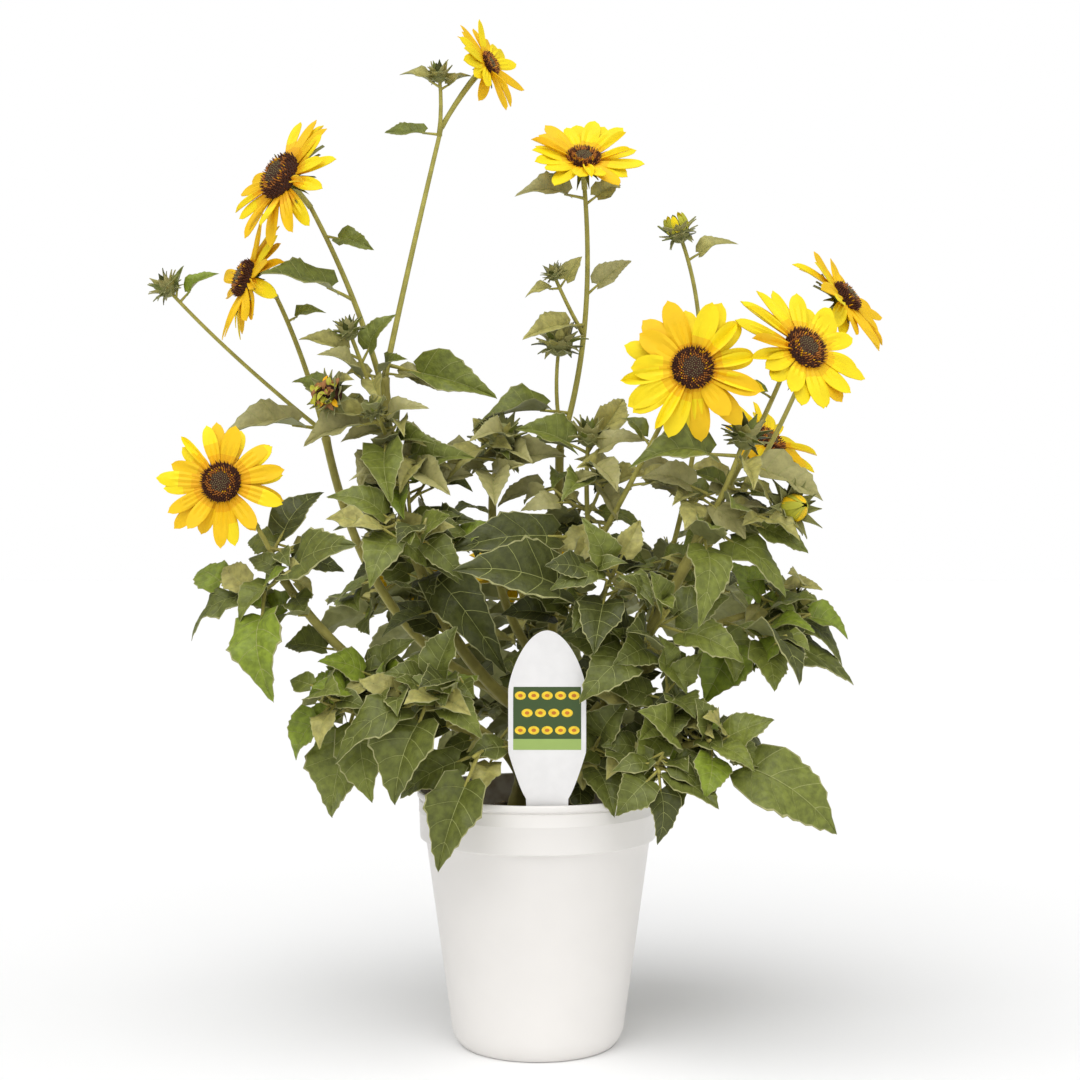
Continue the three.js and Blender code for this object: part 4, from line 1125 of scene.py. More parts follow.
# The share of its breadth that a leaf has at each of two reaches
WIDTH_REACHES = (60, 90)
WIDTHS = {"outside": (1.24, 0.86), "low": (1.16, 0.76), "other": (1.0, 0.76)}

# The reaches in millimetres that part the tints, and where the high leaves with the painted sheen's grey and
# the inner leaves with painted shade are
TINY_LEAF = 36
SHORT_LEAF = 43
FRESH_LEAF = 45
LONG_LEAF = 55
LONGEST = 85
GREY_FROM = 365
INNER_LEAVES = 92
LIT_OUTSIDE = 0.24
LIT_ELSEWHERE = 0.08
YOUNG_SHARE = 0.5

# The tints that a leaf may take, each as likely as it is often named
TONES = {
    # High leaves take mostly the painted sheen's grey green
    "high_long": (GREEN, GREY_SHEEN, MIDDLE, GREEN),
    "high_short": (GREY_SHEEN, YOUNG, GREY_SHEEN, GREEN),
    "high": (GREY_SHEEN, GREY_SHEEN, YOUNG, GREEN),
    # Inner leaves take mostly painted shade: the deep green, and the mid green half-way to it
    "inner_longest": (DEEP_SHADE,),
    "inner": (DEEP_SHADE, DEEP_SHADE, MIDDLE, GREEN, DEEP_SHADE, MIDDLE, MIDDLE),
    "outer": (GREEN, DEEP_SHADE, GREEN, MIDDLE, MIDDLE, GREEN),
}


def low_outside(leaf):
    return abs(leaf.start[0]) > OUTSIDE["beyond"] and leaf.start[2] < OUTSIDE["below"]


def leaf_width(leaf):
    """Long leaves are narrower for their reach, and low ones broader."""
    place = "outside" if low_outside(leaf) else ("low" if leaf.start[2] < LOW_LEAF else "other")
    width = float(np.interp(leaf.reach, WIDTH_REACHES, WIDTHS[place]))
    return width * (HIGH_WIDTH if leaf.start[2] > HIGH_LEAF else 1)


def lay_leaf(bunch, leaf, random):
    """Bend a leaf's shape to its place. High leaves in front turn their faces to the front."""
    large, small = leaf_shapes()
    kind = int(random() * LEAF_KINDS)
    shape = small if leaf.reach < SMALL_LEAF else large[kind]
    length = leaf.reach * (1 - KNEE)
    y = shape.points[:, 1]
    spine = leaf.spine(KNEE + (1 - KNEE) * y)
    curl, arch = between(LIE["curl"], random), between(LIE["arch"], random)
    spine = spine + leaf.up * (length * (4 * arch * y * (1 - y) - curl * y ** 3))[:, None]
    side, up = leaf.side, leaf.up
    high = leaf.start[2] > HIGH_LEAF
    if high and leaf.start[1] < BACK_STARTS:
        up = unit(leaf.up * HIGH_KEPT + np.cross(unit(np.cross(leaf.forward, HIGH_FACING)), leaf.forward))
        side = np.cross(leaf.forward, up)
    points = bend(
        shape, spine, side, up, length,
        length * leaf.breadth * leaf_width(leaf) * between(LIE["width"], random),
        fold=between(LIE["fold"], random) + (HIGH_FOLD if high else 0),
        twist=between(LIE["twist"], random),
        ripple=[between(limits, random) for limits in LIE["ripple"]],
    )
    tint = leaf_tint(leaf, random)
    bunch.add(points, shape, np.where(shape.tints == GREEN, tint, shape.tints))


def leaf_tones(leaf):
    if leaf.start[2] > GREY_FROM:
        if leaf.reach > LONG_LEAF:
            return TONES["high_long"]
        return TONES["high_short" if leaf.reach < SHORT_LEAF else "high"]
    if math.hypot(leaf.start[0], leaf.start[1]) < INNER_LEAVES:
        return TONES["inner_longest" if leaf.reach > LONGEST else "inner"]
    return TONES["outer"]


def leaf_tint(leaf, random):
    """Young leaves and the painted sheen's grey green sit high and at the shoots' tips, and the painted
    shade's deep green sits low and inside.
    """
    draw = random()
    outside = low_outside(leaf)
    if outside and leaf.reach > LONGEST:
        return GREEN
    if draw < (LIT_OUTSIDE if outside else (LIT_ELSEWHERE if leaf.reach < FRESH_LEAF else 0)):
        return LIT
    draw = random()
    if leaf.reach < TINY_LEAF and draw < YOUNG_SHARE:
        return YOUNG
    tones = leaf_tones(leaf)
    return tones[int(draw * len(tones))]


# Stems: how finely they are modelled, and how their feet flare, as a share and a fall over the
# length or, where the limb's own length counts, over so many millimetres
BOUGH_SIDES = 18
BOUGH_RIBS = 6
RIB_DEPTH = 0.05
RING_STEP = 4.0
BELOW_SOIL = 3
ROOT_FLARE = (0.6, 14)
BOUGH_FLARE = (0.35, 7)
KNOT = {"swell": 0.16, "reach": 3.5}
TWIG_SIDES = 8
TWIG_STEP = 7.0
TWIG_FLARE = (0.3, 4)
TWIG_TAPER = 0.8
STALK_SLIM = 0.86
SHOOT_THICK = (2.4, 1.6)
NECK = {"behind": 4.5, "bow": 0.12, "pull": 2, "thick": (3.0, 4.6)}
PETIOLE = {"into_blade": 0.04, "thin": 0.55, "by_reach": 110, "foot": 1.25, "tip": 0.85,
           "rings": 5, "sides": 5}


def limb_tube(limb, thick, sides, step, ribs=0, flare=(0.0, 1.0), start=0.0, knots=()):
    """A limb's tube, with its taper, its flared foot and a knot where each side limb leaves."""
    rings = max(4, int(limb.length() / step))
    t = np.linspace(start, 1, rings)
    radii = (thick[0] + (thick[1] - thick[0]) * t) / 2 * (1 + flare[0] * np.exp(-t * flare[1]))
    along = t * limb.length()
    for at in knots:
        away = (along - at * limb.length()) / KNOT["reach"]
        radii = radii * (1 + KNOT["swell"] * np.exp(-away ** 2))
    return tube(limb.point(t), radii, sides, ribs, RIB_DEPTH)


def knots_on(name):
    stems = [*BOUGHS.values(), *(mass["stem"] for mass in MASSES.values())]
    return [at for on, at, *_ in stems if on == name]


def bloom_neck(bloom):
    """The stalk that rises from the twig's tip to the back of the bloom's disc."""
    facing = unit(np.array(bloom["faces"], float))
    stalk = plant().limbs[bloom["on"]]
    start = stalk.tip
    back = np.array(bloom["centre"], float) - facing * NECK["behind"]
    rise = NECK["bow"] * np.linalg.norm(back - start)
    return Limb(start, back, stalk.heading(1.0) * rise - facing * NECK["pull"])


class SUNFLOWER_OT_boughs(bpy.types.Operator):
    """Grow the main stem and its boughs, ribbed and knotted, from the soil to the foliage"""

    bl_idname = "sunflower.boughs"
    bl_label = "Stem and Boughs"

    def execute(self, context):
        bunch = Bunch()
        for name, (on, *_, thick) in BOUGHS.items():
            limb = plant().limbs[name]
            trunk = on is None
            cut = SOIL_TOP / MM - BELOW_SOIL
            start = (cut - limb.foot[2]) / (limb.tip[2] - limb.foot[2]) if trunk else 0.0
            flare = ROOT_FLARE if trunk else (BOUGH_FLARE[0], limb.length() / BOUGH_FLARE[1])
            shape = limb_tube(limb, thick, BOUGH_SIDES, RING_STEP, BOUGH_RIBS, flare, start,
                              knots_on(name))
            # The main stem takes the painted shade's olive, and the boughs take the half-way painted shade
            shape.tints[:] = SHADED_OLIVE if trunk else HALF_SHADED_STEM
            bunch.add(shape.points, shape)
        make_piece("stem_and_boughs", bunch, stem_finishes(), BOUGHS)
        return {"FINISHED"}


class SUNFLOWER_OT_twigs(bpy.types.Operator):
    """Grow the stalks, their side twigs, the finer shoots, the petioles and the blooms' necks"""

    bl_idname = "sunflower.twigs"
    bl_label = "Stalks and Petioles"

    def execute(self, context):
        grown = plant()
        bunch = Bunch()
        for name, mass in MASSES.items():
            foot, tip = (STALK_SLIM * thick for thick in mass["stem"][-1])
            self.add_limb(bunch, grown.limbs[name], (foot, tip), PALE)
            for twig in mass.get("twigs", {}):
                thin = (tip, tip * TWIG_TAPER)
                self.add_limb(bunch, grown.limbs[f"{name}/{twig}"], thin, PALE)
        for shoot in grown.shoots:
            # The finer shoots take the half-way painted shade
            self.add_limb(bunch, shoot, SHOOT_THICK, HALF_SHADED_STEM)
        for bloom in BLOOMS.values():
            self.add_limb(bunch, bloom_neck(bloom), NECK["thick"], PALE)
        shares = np.linspace(0, KNEE + PETIOLE["into_blade"], PETIOLE["rings"])
        for leaf in grown.leaves:
            radius = PETIOLE["thin"] + leaf.reach / PETIOLE["by_reach"]
            radii = np.linspace(radius * PETIOLE["foot"], radius * PETIOLE["tip"], PETIOLE["rings"])
            petiole = tube(leaf.spine(shares), radii, PETIOLE["sides"])
            bunch.add(petiole.points, petiole)
        make_piece("stalks_and_petioles", bunch, stem_finishes())
        return {"FINISHED"}

    def add_limb(self, bunch, limb, thick, tint):
        flare = (TWIG_FLARE[0], limb.length() / TWIG_FLARE[1])
        shape = limb_tube(limb, thick, TWIG_SIDES, TWIG_STEP, flare=flare)
        shape.tints[:] = tint
        bunch.add(shape.points, shape)


# Leaves, in pieces for the parts of the crown

CROWN = {
    "leaves_left": ("stalk_far_left", "foliage_left", "foliage_low_left", "foliage_rim_left", "stalk_left"),
    "leaves_centre": ("foliage_centre_front", "foliage_centre_left", "foliage_mid_right",
                      "foliage_centre", "foliage_base"),
    "leaves_right": ("stalk_right_front", "foliage_side_bud", "foliage_side", "foliage_right_inner",
                     "foliage_low_inner", "foliage_low_right", "foliage_rim_right"),
    "leaves_top": ("stalk_top", "stalk_tall_left", "fork_shoot", "fork_front", "stalk_mid_right",
                   "stalk_mid", "stalk_right_high", "stalk_right_far", "stalk_bud_high"),
    "leaves_back": ("foliage_back_left", "foliage_back_right", "foliage_back", "foliage_back_low_left",
                    "foliage_back_low_right"),
}


LEAF_SHARP = 50


class SUNFLOWER_OT_leaves(bpy.types.Operator):
    """Lay every leaf of the crown, each with its teeth, veins, folds and waves"""

    bl_idname = "sunflower.leaves"
    bl_label = "Leaves"

    def execute(self, context):
        leaves = plant().leaves
        for k, (name, masses) in enumerate(CROWN.items()):
            random = random_from(LEAF_SEED + k)
            bunch = Bunch()
            for leaf in leaves:
                if leaf.group in masses:
                    lay_leaf(bunch, leaf, random)
            make_piece(name, bunch, leaf_finishes(), masses, sharp=LEAF_SHARP)
        return {"FINISHED"}


# Blooms and buds

class Head:
    """A bloom's or bud's own axes: across, up its face and out of it."""

    def __init__(self, centre, faces):
        self.centre = np.array(centre, float)
        self.facing = unit(np.array(faces, float))
        reference = [0, 0, 1.0] if abs(self.facing[2]) < 0.9 else [1.0, 0, 0]
        self.across = unit(np.cross(self.facing, reference))
        self.other = np.cross(self.across, self.facing)

    def out(self, degrees):
        angle = math.radians(degrees)
        return self.across * math.cos(angle) + self.other * math.sin(angle)

    def leaning(self, turn, degrees):
        """The way that leans out of the head's axis by an angle."""
        angle = math.radians(degrees)
        return self.out(turn) * math.sin(angle) + self.facing * math.cos(angle)

    def place(self, points):
        x, y, z = points.T
        return (self.centre - x[:, None] * self.across + y[:, None] * self.other
                + z[:, None] * self.facing)


# Two rings of petals, their measures in millimetres, degrees and shares. A petal is as wide as
# "width" in a bloom of the usual radius
PETAL = {"layers": 2, "count": (11, 12), "uneven": 0.3, "reach": (0.86, 1.09), "tilt": (-0.14, 0.22),
         "droop": (0.0, 0.22), "width": 12.4, "usual_radius": 42, "widths": (0.86, 1.12),
         "twist": (-0.35, 0.35), "trough": (-0.15, 0.3), "root": 4.0, "back": 0.9, "furled": 0.12}
FURLED_PETAL = {"width": 0.6, "droop": 0.15, "fold": 0.9}
LONG_PETALS = {"reach": 1.17, "width": 0.72}
# How far up a petal its amber and golden claw reach: partly the petal's own deeper colour, partly painted
# shade near the disc
CLAW_AMBER, CLAW_GOLDEN = 0.19, 0.33
PETAL_SHARP = 32
YELLOW, GOLDEN, AMBER, WITHERED, GREENISH = range(5)


def petal_finishes():
    blooms = bpy.context.scene.sunflower_blooms
    return skin_finishes({
        "petal_yellow": blooms.yellow, "petal_golden": blooms.golden, "petal_amber": blooms.amber,
        "petal_withered": blooms.withered, "petal_greenish": blooms.greenish,
    }, "petal")


def petal_tints(golden, claw):
    """Amber and then golden at the claw, partly the petal's own deeper colour and partly painted shade near
    the disc, with the petal's own yellow above and a golden underside.
    """
    shape = petal_shape()
    middles = np.add.reduceat(shape.points[shape.corners, 1], shape.starts()) / shape.sizes
    upper = np.where(middles < CLAW_GOLDEN * claw, GOLDEN, GOLDEN if golden else YELLOW)
    return np.where(middles < CLAW_AMBER * claw, AMBER, np.where(shape.tints == UNDERSIDE, GOLDEN, upper))


def in_arc(turn, arc):
    return bool(arc) and arc[0] < turn % 360 < arc[1]


def pick(choices, random):
    return choices[int(random() * len(choices))]


class SUNFLOWER_OT_petals(bpy.types.Operator):
    """Ring each bloom with two layers of ribbed petals"""

    bl_idname = "sunflower.petals"
    bl_label = "Petals"

    def execute(self, context):
        bunch = Bunch()
        for i, bloom in enumerate(BLOOMS.values()):
            random = random_from(BLOOM_SEED + i)
            head = Head(bloom["centre"], bloom["faces"])
            for layer in range(PETAL["layers"]):
                self.ring(bunch, bloom, head, layer, random)
        make_piece("petals", bunch, petal_finishes(), BLOOMS, sharp=PETAL_SHARP)
        return {"FINISHED"}

    def ring(self, bunch, bloom, head, layer, random):
        low, high = PETAL["count"]
        count = low + round((high - low) * random())
        for k in range(count):
            turn = (k + layer / 2 + PETAL["uneven"] * random()) * 360 / count
            reach = bloom["radius"] * between(PETAL["reach"], random)
            tilt = between(PETAL["tilt"], random) + bloom.get("loose", 0) * between((-1, 1), random)
            tilt += bloom.get("cup", 0)
            droop = between(PETAL["droop"], random)
            width = PETAL["width"] * bloom["radius"] / PETAL["usual_radius"]
            width *= between(PETAL["widths"], random)
            width *= bloom.get("thin", 1)
            twist = between(PETAL["twist"], random)
            golden = random() < bloom["gold"]
            fold = between(PETAL["trough"], random)
            if random() < PETAL["furled"]:
                width *= FURLED_PETAL["width"]
                droop -= FURLED_PETAL["droop"]
                fold += FURLED_PETAL["fold"]
            if in_arc(turn, bloom.get("long")):
                reach, width = reach * LONG_PETALS["reach"], width * LONG_PETALS["width"]
            if in_arc(turn, bloom.get("bare")):
                continue
            out = head.out(turn)
            root = head.centre + out * (bloom["disc"] - PETAL["root"]) - head.facing * PETAL["back"] * layer
            length = reach - bloom["disc"] + PETAL["root"]
            tints = petal_tints(golden, bloom.get("claw", 1))
            lay_blade(bunch, petal_shape(), root, unit(out + head.facing * tilt), head.facing, length,
                      width, droop, tints, fold=fold, twist=twist)


# A disc's body, and its florets in three rings from the outside in: where a ring starts as a share
# of the disc, its florets' lengths, their thickness, and its bright tints as (share, how much of
# the disc's ripeness comes off it, tint). The rest of the florets are dark
BODY_TINT, DARK, RUST, TAWNY, POLLEN = range(5)
FLORETS = 300
FLORET_RINGS = (
    (0.74, (2.6, 3.8), 1.3, ((0.02, 0, POLLEN), (0.22, 1, RUST))),
    (0.5, (1.8, 2.8), 1.6, ((0.7, 1, RUST), (0.82, 1, POLLEN))),
    (0.0, (0.9, 1.4), 1.5, ((0.92, 0, TAWNY),)),
)
FLORET = {"sides": 5, "foot": 0.5, "tip": 0.12, "lean": 0.15, "splay": 0.55, "spread": 0.97, "sunk": 0.6}
GOLDEN_ANGLE = 137.508
DISC_INSET = 1.2
DISC_RISE = 0.34
DISC_BACK = 0.25
DOME_SIDES = 24
DOME_RINGS = 12


def spike_shape():
    """A floret: one small pointed spike."""
    return read_shape(added(bpy.ops.mesh.primitive_cone_add, vertices=FLORET["sides"], depth=1,
                            radius1=FLORET["foot"], radius2=FLORET["tip"], location=(0, 0, 0.5)))


def dome_shape():
    return read_shape(added(bpy.ops.mesh.primitive_uv_sphere_add, segments=DOME_SIDES,
                            ring_count=DOME_RINGS, radius=1))


def disc_finishes():
    blooms = bpy.context.scene.sunflower_blooms
    return skin_finishes({
        "disc_dark": shade(blooms.disc, 0.5), "floret_dark": blooms.disc, "floret_rust": blooms.rust,
        "floret_olive": blooms.olive, "floret_amber": blooms.amber,
    }, "floret")


class SUNFLOWER_OT_discs(bpy.types.Operator):
    """Fill each bloom's disc with florets in a spiral, dark outside, rust between, olive inside"""

    bl_idname = "sunflower.discs"
    bl_label = "Discs and Florets"

    def execute(self, context):
        bunch = Bunch()
        dome, spike = dome_shape(), spike_shape()
        for i, bloom in enumerate(BLOOMS.values()):
            random = random_from(FLORET_SEED + i)
            head = Head(bloom["centre"], bloom["faces"])
            radius = bloom["disc"] - DISC_INSET
            rise = radius * bloom.get("dome", DISC_RISE)
            heights = np.where(dome.points[:, 2] > 0, rise, radius * DISC_BACK)
            body = dome.points * np.column_stack([np.full((len(heights), 2), radius), heights])
            bunch.add(head.place(body), dome)
            for n in range(FLORETS):
                self.floret(bunch, spike, head, (radius, rise), n, bloom.get("ripe", 0), random)
        make_piece("disc_florets", bunch, disc_finishes())
        return {"FINISHED"}

    def floret(self, bunch, spike, head, dome, n, ripe, random):
        radius, rise = dome
        share = math.sqrt((n + 0.5) / FLORETS)
        _, lengths, thick, tones = next(ring for ring in FLORET_RINGS if share > ring[0])
        out = head.out(n * GOLDEN_ANGLE)
        height = rise * math.sqrt(max(1 - share * share, 0))
        along = unit(head.facing + out * (FLORET["lean"] + FLORET["splay"] * share ** 3))
        draw = random()
        long = between(lengths, random)
        tint = next((tone for most, fades, tone in tones if draw < most - fades * ripe), DARK)
        base = head.centre + out * radius * share * FLORET["spread"] + head.facing * (height - FLORET["sunk"])
        side = unit(np.cross(along, head.other))
        x, y, z = spike.points.T
        points = (base + (x * thick)[:, None] * side + (y * thick)[:, None] * np.cross(along, side)
                  + (z * long)[:, None] * along)
        bunch.add(points, spike, np.full(len(spike.sizes), tint))


# A bud is a ball with whorls of bracts, each as (count, polar angle of the roots, lean of the
# bracts out of the bud's axis, length in bud radii), from the stalk's side to the top
BUD_WHORLS = ((8, 130, 104, 0.66), (10, 108, 70, 0.84), (10, 84, 40, 0.96), (8, 56, 14, 0.9))
BUD = {"head": 0.78, "lift": 0.55, "root": 0.92, "uneven": 0.3, "spread": 15, "facing": 0.6,
       "length": (0.85, 1.15), "width": 0.74, "recurve": (-0.1, 0.4), "fold": 0.3}
# The bracts' tones include the painted sheen's grey green and the painted shade's deep green, dealt at random
BRACT_TONES = (YOUNG, GREEN, DEEP_SHADE, GREY_SHEEN)

# Young petals over a bud's top: their count, where they root and lean, their length in bud radii,
# how they curl, and how much longer the bud's bracts are. The opening bud turns to the front
FURLED = {"showing": {"count": 12, "polar": 84, "lean": 24, "length": 1.1, "curl": -0.5, "bracts": 1.0},
          "opening": {"count": 17, "polar": 84, "lean": 20, "length": 1.15, "curl": -0.95, "bracts": 1.4}}
FURLED_LIE = {"root": 1.02, "uneven": 0.3, "length": (0.9, 1.1), "width": 0.5, "fold": 0.2}
FURLED_TONES = (GOLDEN, YELLOW, GREENISH, GREENISH)
OPENING_FACES = (0.4, -0.85, 0.1)

# The spent head's dry petals, and the cup of bracts behind each bloom
SPENT = {"head": 0.84, "count": 44, "root": 0.95, "polar": (5, 92), "sideways": 0.8,
         "length": (0.35, 0.7), "width": 0.36, "curl": (0.2, 1.0), "fold": 0.6}
SPENT_TONES = (AMBER, WITHERED, WITHERED, GREENISH)
CALYX = {"bracts": 18, "uneven": 0.3, "inset": 1.5, "below": 3.0, "cup": 0.9, "cup_depth": 4.2,
         "tilt": (-0.2, 0.12), "root": 0.55, "root_back": 1.6, "length": 1.25, "lengths": (0.8, 1.15),
         "width": 5.0, "droop": (-0.1, 0.25)}
BRACT_SHARP = 60
SPENT_TINT = EDGE + 1


class SUNFLOWER_OT_buds(bpy.types.Operator):
    """Make the buds at the shoots' tips, and the green cup of bracts behind each bloom"""

    bl_idname = "sunflower.buds"
    bl_label = "Buds and Bracts"

    def execute(self, context):
        green, yellow = Bunch(), Bunch()
        dome = dome_shape()
        for k, (limb_name, radius) in enumerate(plant().buds):
            random = random_from(BUD_SEED + k)
            self.bud(green, yellow, dome, limb_name, radius, random)
        for k, bloom in enumerate(BLOOMS.values()):
            self.calyx(green, dome, bloom, random_from(CALYX_SEED + k))
        finishes = leaf_finishes() + [disc_finishes()[BODY_TINT]]
        make_piece("buds_and_bracts", green, finishes, sharp=BRACT_SHARP)
        make_piece("opening_petals", yellow, petal_finishes(), sharp=BRACT_SHARP)
        return {"FINISHED"}

    def on_ball(self, head, radius, turn, polar):
        """The way out of the ball and the point on it, by the turn and the angle from its top."""
        normal = head.leaning(turn, polar)
        return normal, head.centre + normal * radius

    def bud(self, green, yellow, dome, limb_name, radius, random):
        limb = plant().limbs[limb_name]
        state = BUD_STATES.get(limb_name, "shut")
        facing = unit(np.array(OPENING_FACES)) if state == "opening" else limb.heading(1.0)
        head = Head(limb.tip + facing * radius * BUD["lift"], facing)
        ball = radius * (SPENT if state == "spent" else BUD)["head"]
        tints = np.full(len(dome.sizes), SPENT_TINT if state == "spent" else UNDERSIDE)
        green.add(head.place(dome.points * ball), dome, tints)
        whorls = BUD_WHORLS if state == "shut" else BUD_WHORLS[:-1]
        longer = FURLED[state]["bracts"] if state in FURLED else 1.0
        for row, (count, polar, lean, long) in enumerate(whorls):
            for n in range(count):
                turn = (n + row % 2 / 2 + BUD["uneven"] * random()) * 360 / count
                self.bract(green, head, radius, ball, turn, polar, lean, long * longer, random)
        if state in FURLED:
            self.furled_petals(yellow, head, radius, ball, FURLED[state], random)
        if state == "spent":
            self.withered_petals(yellow, head, radius, ball, random)

    def bract(self, green, head, radius, ball, turn, polar, lean, long, random):
        normal, root = self.on_ball(head, ball * BUD["root"], turn, polar)
        along = head.leaning(turn, lean + between((-BUD["spread"], BUD["spread"]), random))
        shape = bract_shape()
        sides = np.searchsorted([GREEN, UNDERSIDE, EDGE], shape.tints)
        tints = np.choose(sides, (UNDERSIDE, pick(BRACT_TONES, random), EDGE))
        length = radius * long * between(BUD["length"], random)
        lay_blade(green, shape, root, along, head.facing * BUD["facing"] - normal, length,
                  radius * BUD["width"], between(BUD["recurve"], random), tints, fold=BUD["fold"])

    def furled_petals(self, yellow, head, radius, ball, furled, random):
        """Young petals that close over the bud as a striped ball."""
        shape = petal_shape()
        for n in range(furled["count"]):
            turn = (n + FURLED_LIE["uneven"] * random()) * 360 / furled["count"]
            normal, root = self.on_ball(head, ball * FURLED_LIE["root"], turn, furled["polar"])
            along = head.leaning(turn, furled["lean"])
            tints = np.full(len(shape.sizes), pick(FURLED_TONES, random))
            length = radius * furled["length"] * between(FURLED_LIE["length"], random)
            lay_blade(yellow, shape, root, along, -normal, length, radius * FURLED_LIE["width"],
                      furled["curl"], tints, fold=FURLED_LIE["fold"])

    def withered_petals(self, yellow, head, radius, ball, random):
        """Dry curled petals and florets that cover the spent head."""
        shape = petal_shape()
        for n in range(SPENT["count"]):
            polar = between(SPENT["polar"], random)
            normal, root = self.on_ball(head, ball * SPENT["root"], n * GOLDEN_ANGLE, polar)
            along = unit(normal + head.out(360 * random()) * SPENT["sideways"])
            tints = np.full(len(shape.sizes), pick(SPENT_TONES, random))
            length = radius * between(SPENT["length"], random)
            lay_blade(yellow, shape, root, along, head.facing + normal, length, radius * SPENT["width"],
                      between(SPENT["curl"], random), tints, fold=SPENT["fold"])

    def calyx(self, green, dome, bloom, random):
        head = Head(bloom["centre"], bloom["faces"])
        radius = bloom["disc"] - CALYX["inset"]
        below = head.centre - head.facing * CALYX["below"]
        cup = [radius * CALYX["cup"], radius * CALYX["cup"], CALYX["cup_depth"]]
        green.add(Head(below, head.facing).place(dome.points * cup), dome)
        shape = bract_shape()
        for n in range(CALYX["bracts"]):
            out = head.out((n + CALYX["uneven"] * random()) * 360 / CALYX["bracts"])
            along = unit(out + head.facing * between(CALYX["tilt"], random))
            root = below - head.facing * CALYX["root_back"] + out * radius * CALYX["root"]
            length = bloom["disc"] * CALYX["length"] * between(CALYX["lengths"], random)
            tints = np.where(shape.tints == GREEN, GREEN, UNDERSIDE)
            lay_blade(green, shape, root, along, head.facing, length, CALYX["width"],
                      between(CALYX["droop"], random), tints)


# The pot, its soil and its label

FOOT_RADIUS = 53.5
HEEL_RADIUS = 59.5
NECK_RADIUS = 76.5
COLLAR_RADIUS = 80.5
GROOVE_RADIUS = 81.2
POT_FLOOR = 3.0
HEEL_FOOT = 1.6
HEEL_RISE = 13
HEEL_SHARES = (0.25, 0.5, 0.75, 1.0)
RIM_HEIGHT = 5.5
NOTCHES = 6
NOTCH_SIZE = (22.0, 9.0, 2.4)
NOTCH_SLOPE = 0.82
# Painted shade on the pot's inside wall: a dark brown from the collar to just under the rim, as if the
# crown's shade fell there, and how far under the rim it stops
INNER_WALL_SHADE = (0.23, 0.185, 0.135)
WALL_SHADE_STOPS = 2.5 * MM
POT_SHARP = 32


def pot_rings(height, rim):
    """The pot's section as rings of radius and height, up the outside and down the inside."""
    step = COLLAR_FOOT / MM
    groove = height - RIM_HEIGHT
    heel = FOOT_RADIUS + HEEL_FOOT
    outside = [(FOOT_RADIUS - 0.6, 0), (FOOT_RADIUS, 0.6), (heel, 2.6)]
    for share in HEEL_SHARES:
        out = (HEEL_RADIUS - FOOT_RADIUS - HEEL_FOOT) * math.sin(share * math.pi / 2)
        outside.append((heel + out, POT_FLOOR + HEEL_RISE * share ** 1.3))
    outside += [
        (NECK_RADIUS - 0.15, step - 2), (NECK_RADIUS + 0.4, step - 1), (COLLAR_RADIUS - 0.9, step - 0.4),
        (COLLAR_RADIUS - 0.2, step + 0.2), (COLLAR_RADIUS, step + 1.2), (GROOVE_RADIUS - 0.2, 157.4),
        (GROOVE_RADIUS + 0.15, 158.0), (GROOVE_RADIUS, 158.8), (GROOVE_RADIUS + 0.1, groove - 0.8),
        (GROOVE_RADIUS - 0.6, groove), (GROOVE_RADIUS - 0.4, groove + 0.7), (rim - 0.25, groove + 1.5),
        (rim, groove + 2.1), (rim, height - 1.0), (rim - 0.35, height - 0.25), (rim - 0.9, height),
    ]
    wall = WALL / MM
    inside = [
        (rim - wall + 0.3, height), (rim - wall, height - 0.5), (rim - wall - 0.4, groove),
        (COLLAR_RADIUS - wall, step + 2), (NECK_RADIUS - wall, step - 4), (HEEL_RADIUS - wall, 17),
        (FOOT_RADIUS - wall, POT_FLOOR),
    ]
    return outside + inside


def turned_shell(rings, facets):
    """A round shell: a filled circle drawn up ring by ring, in edit mode."""
    radius, level = rings[0]
    shell = added(bpy.ops.mesh.primitive_circle_add, vertices=facets, radius=radius * MM,
                  fill_type="NGON", location=(0, 0, level * MM))
    bpy.ops.object.mode_set(mode="EDIT")
    bpy.ops.mesh.select_all(action="SELECT")
    for after, height in rings[1:]:
        rise = {"value": (0, 0, (height - level) * MM)}
        bpy.ops.mesh.extrude_region_move(TRANSFORM_OT_translate=rise)
        grow = after / radius
        bpy.ops.transform.resize(value=(grow, grow, 1), center_override=(0, 0, height * MM))
        radius, level = after, height
    face_outwards()
    return shell


def notch_cutter(k):
    """A wedge-sided block that cuts one drainage notch into the pot's foot."""
    width, depth, height = NOTCH_SIZE
    cutter = added(bpy.ops.mesh.primitive_cube_add, size=1)
    angle = math.radians(360 * k / NOTCHES - 90)
    for vertex in cutter.data.vertices:
        x, y, z = vertex.co
        taper = NOTCH_SLOPE if z > 0 else 1.0
        across, out = x * width * taper * MM, (FOOT_RADIUS + y * depth) * MM
        up = (height if z > 0 else -height) * MM
        vertex.co = (out * math.cos(angle) - across * math.sin(angle),
                     out * math.sin(angle) + across * math.cos(angle), up)
    return cutter


def cut_away(piece, cutter):
    select_only(piece)
    cut = piece.modifiers.new("Notch", "BOOLEAN")
    cut.operation = "DIFFERENCE"
    cut.object = cutter
    bpy.ops.object.modifier_apply(modifier=cut.name)
    bpy.data.objects.remove(cutter)


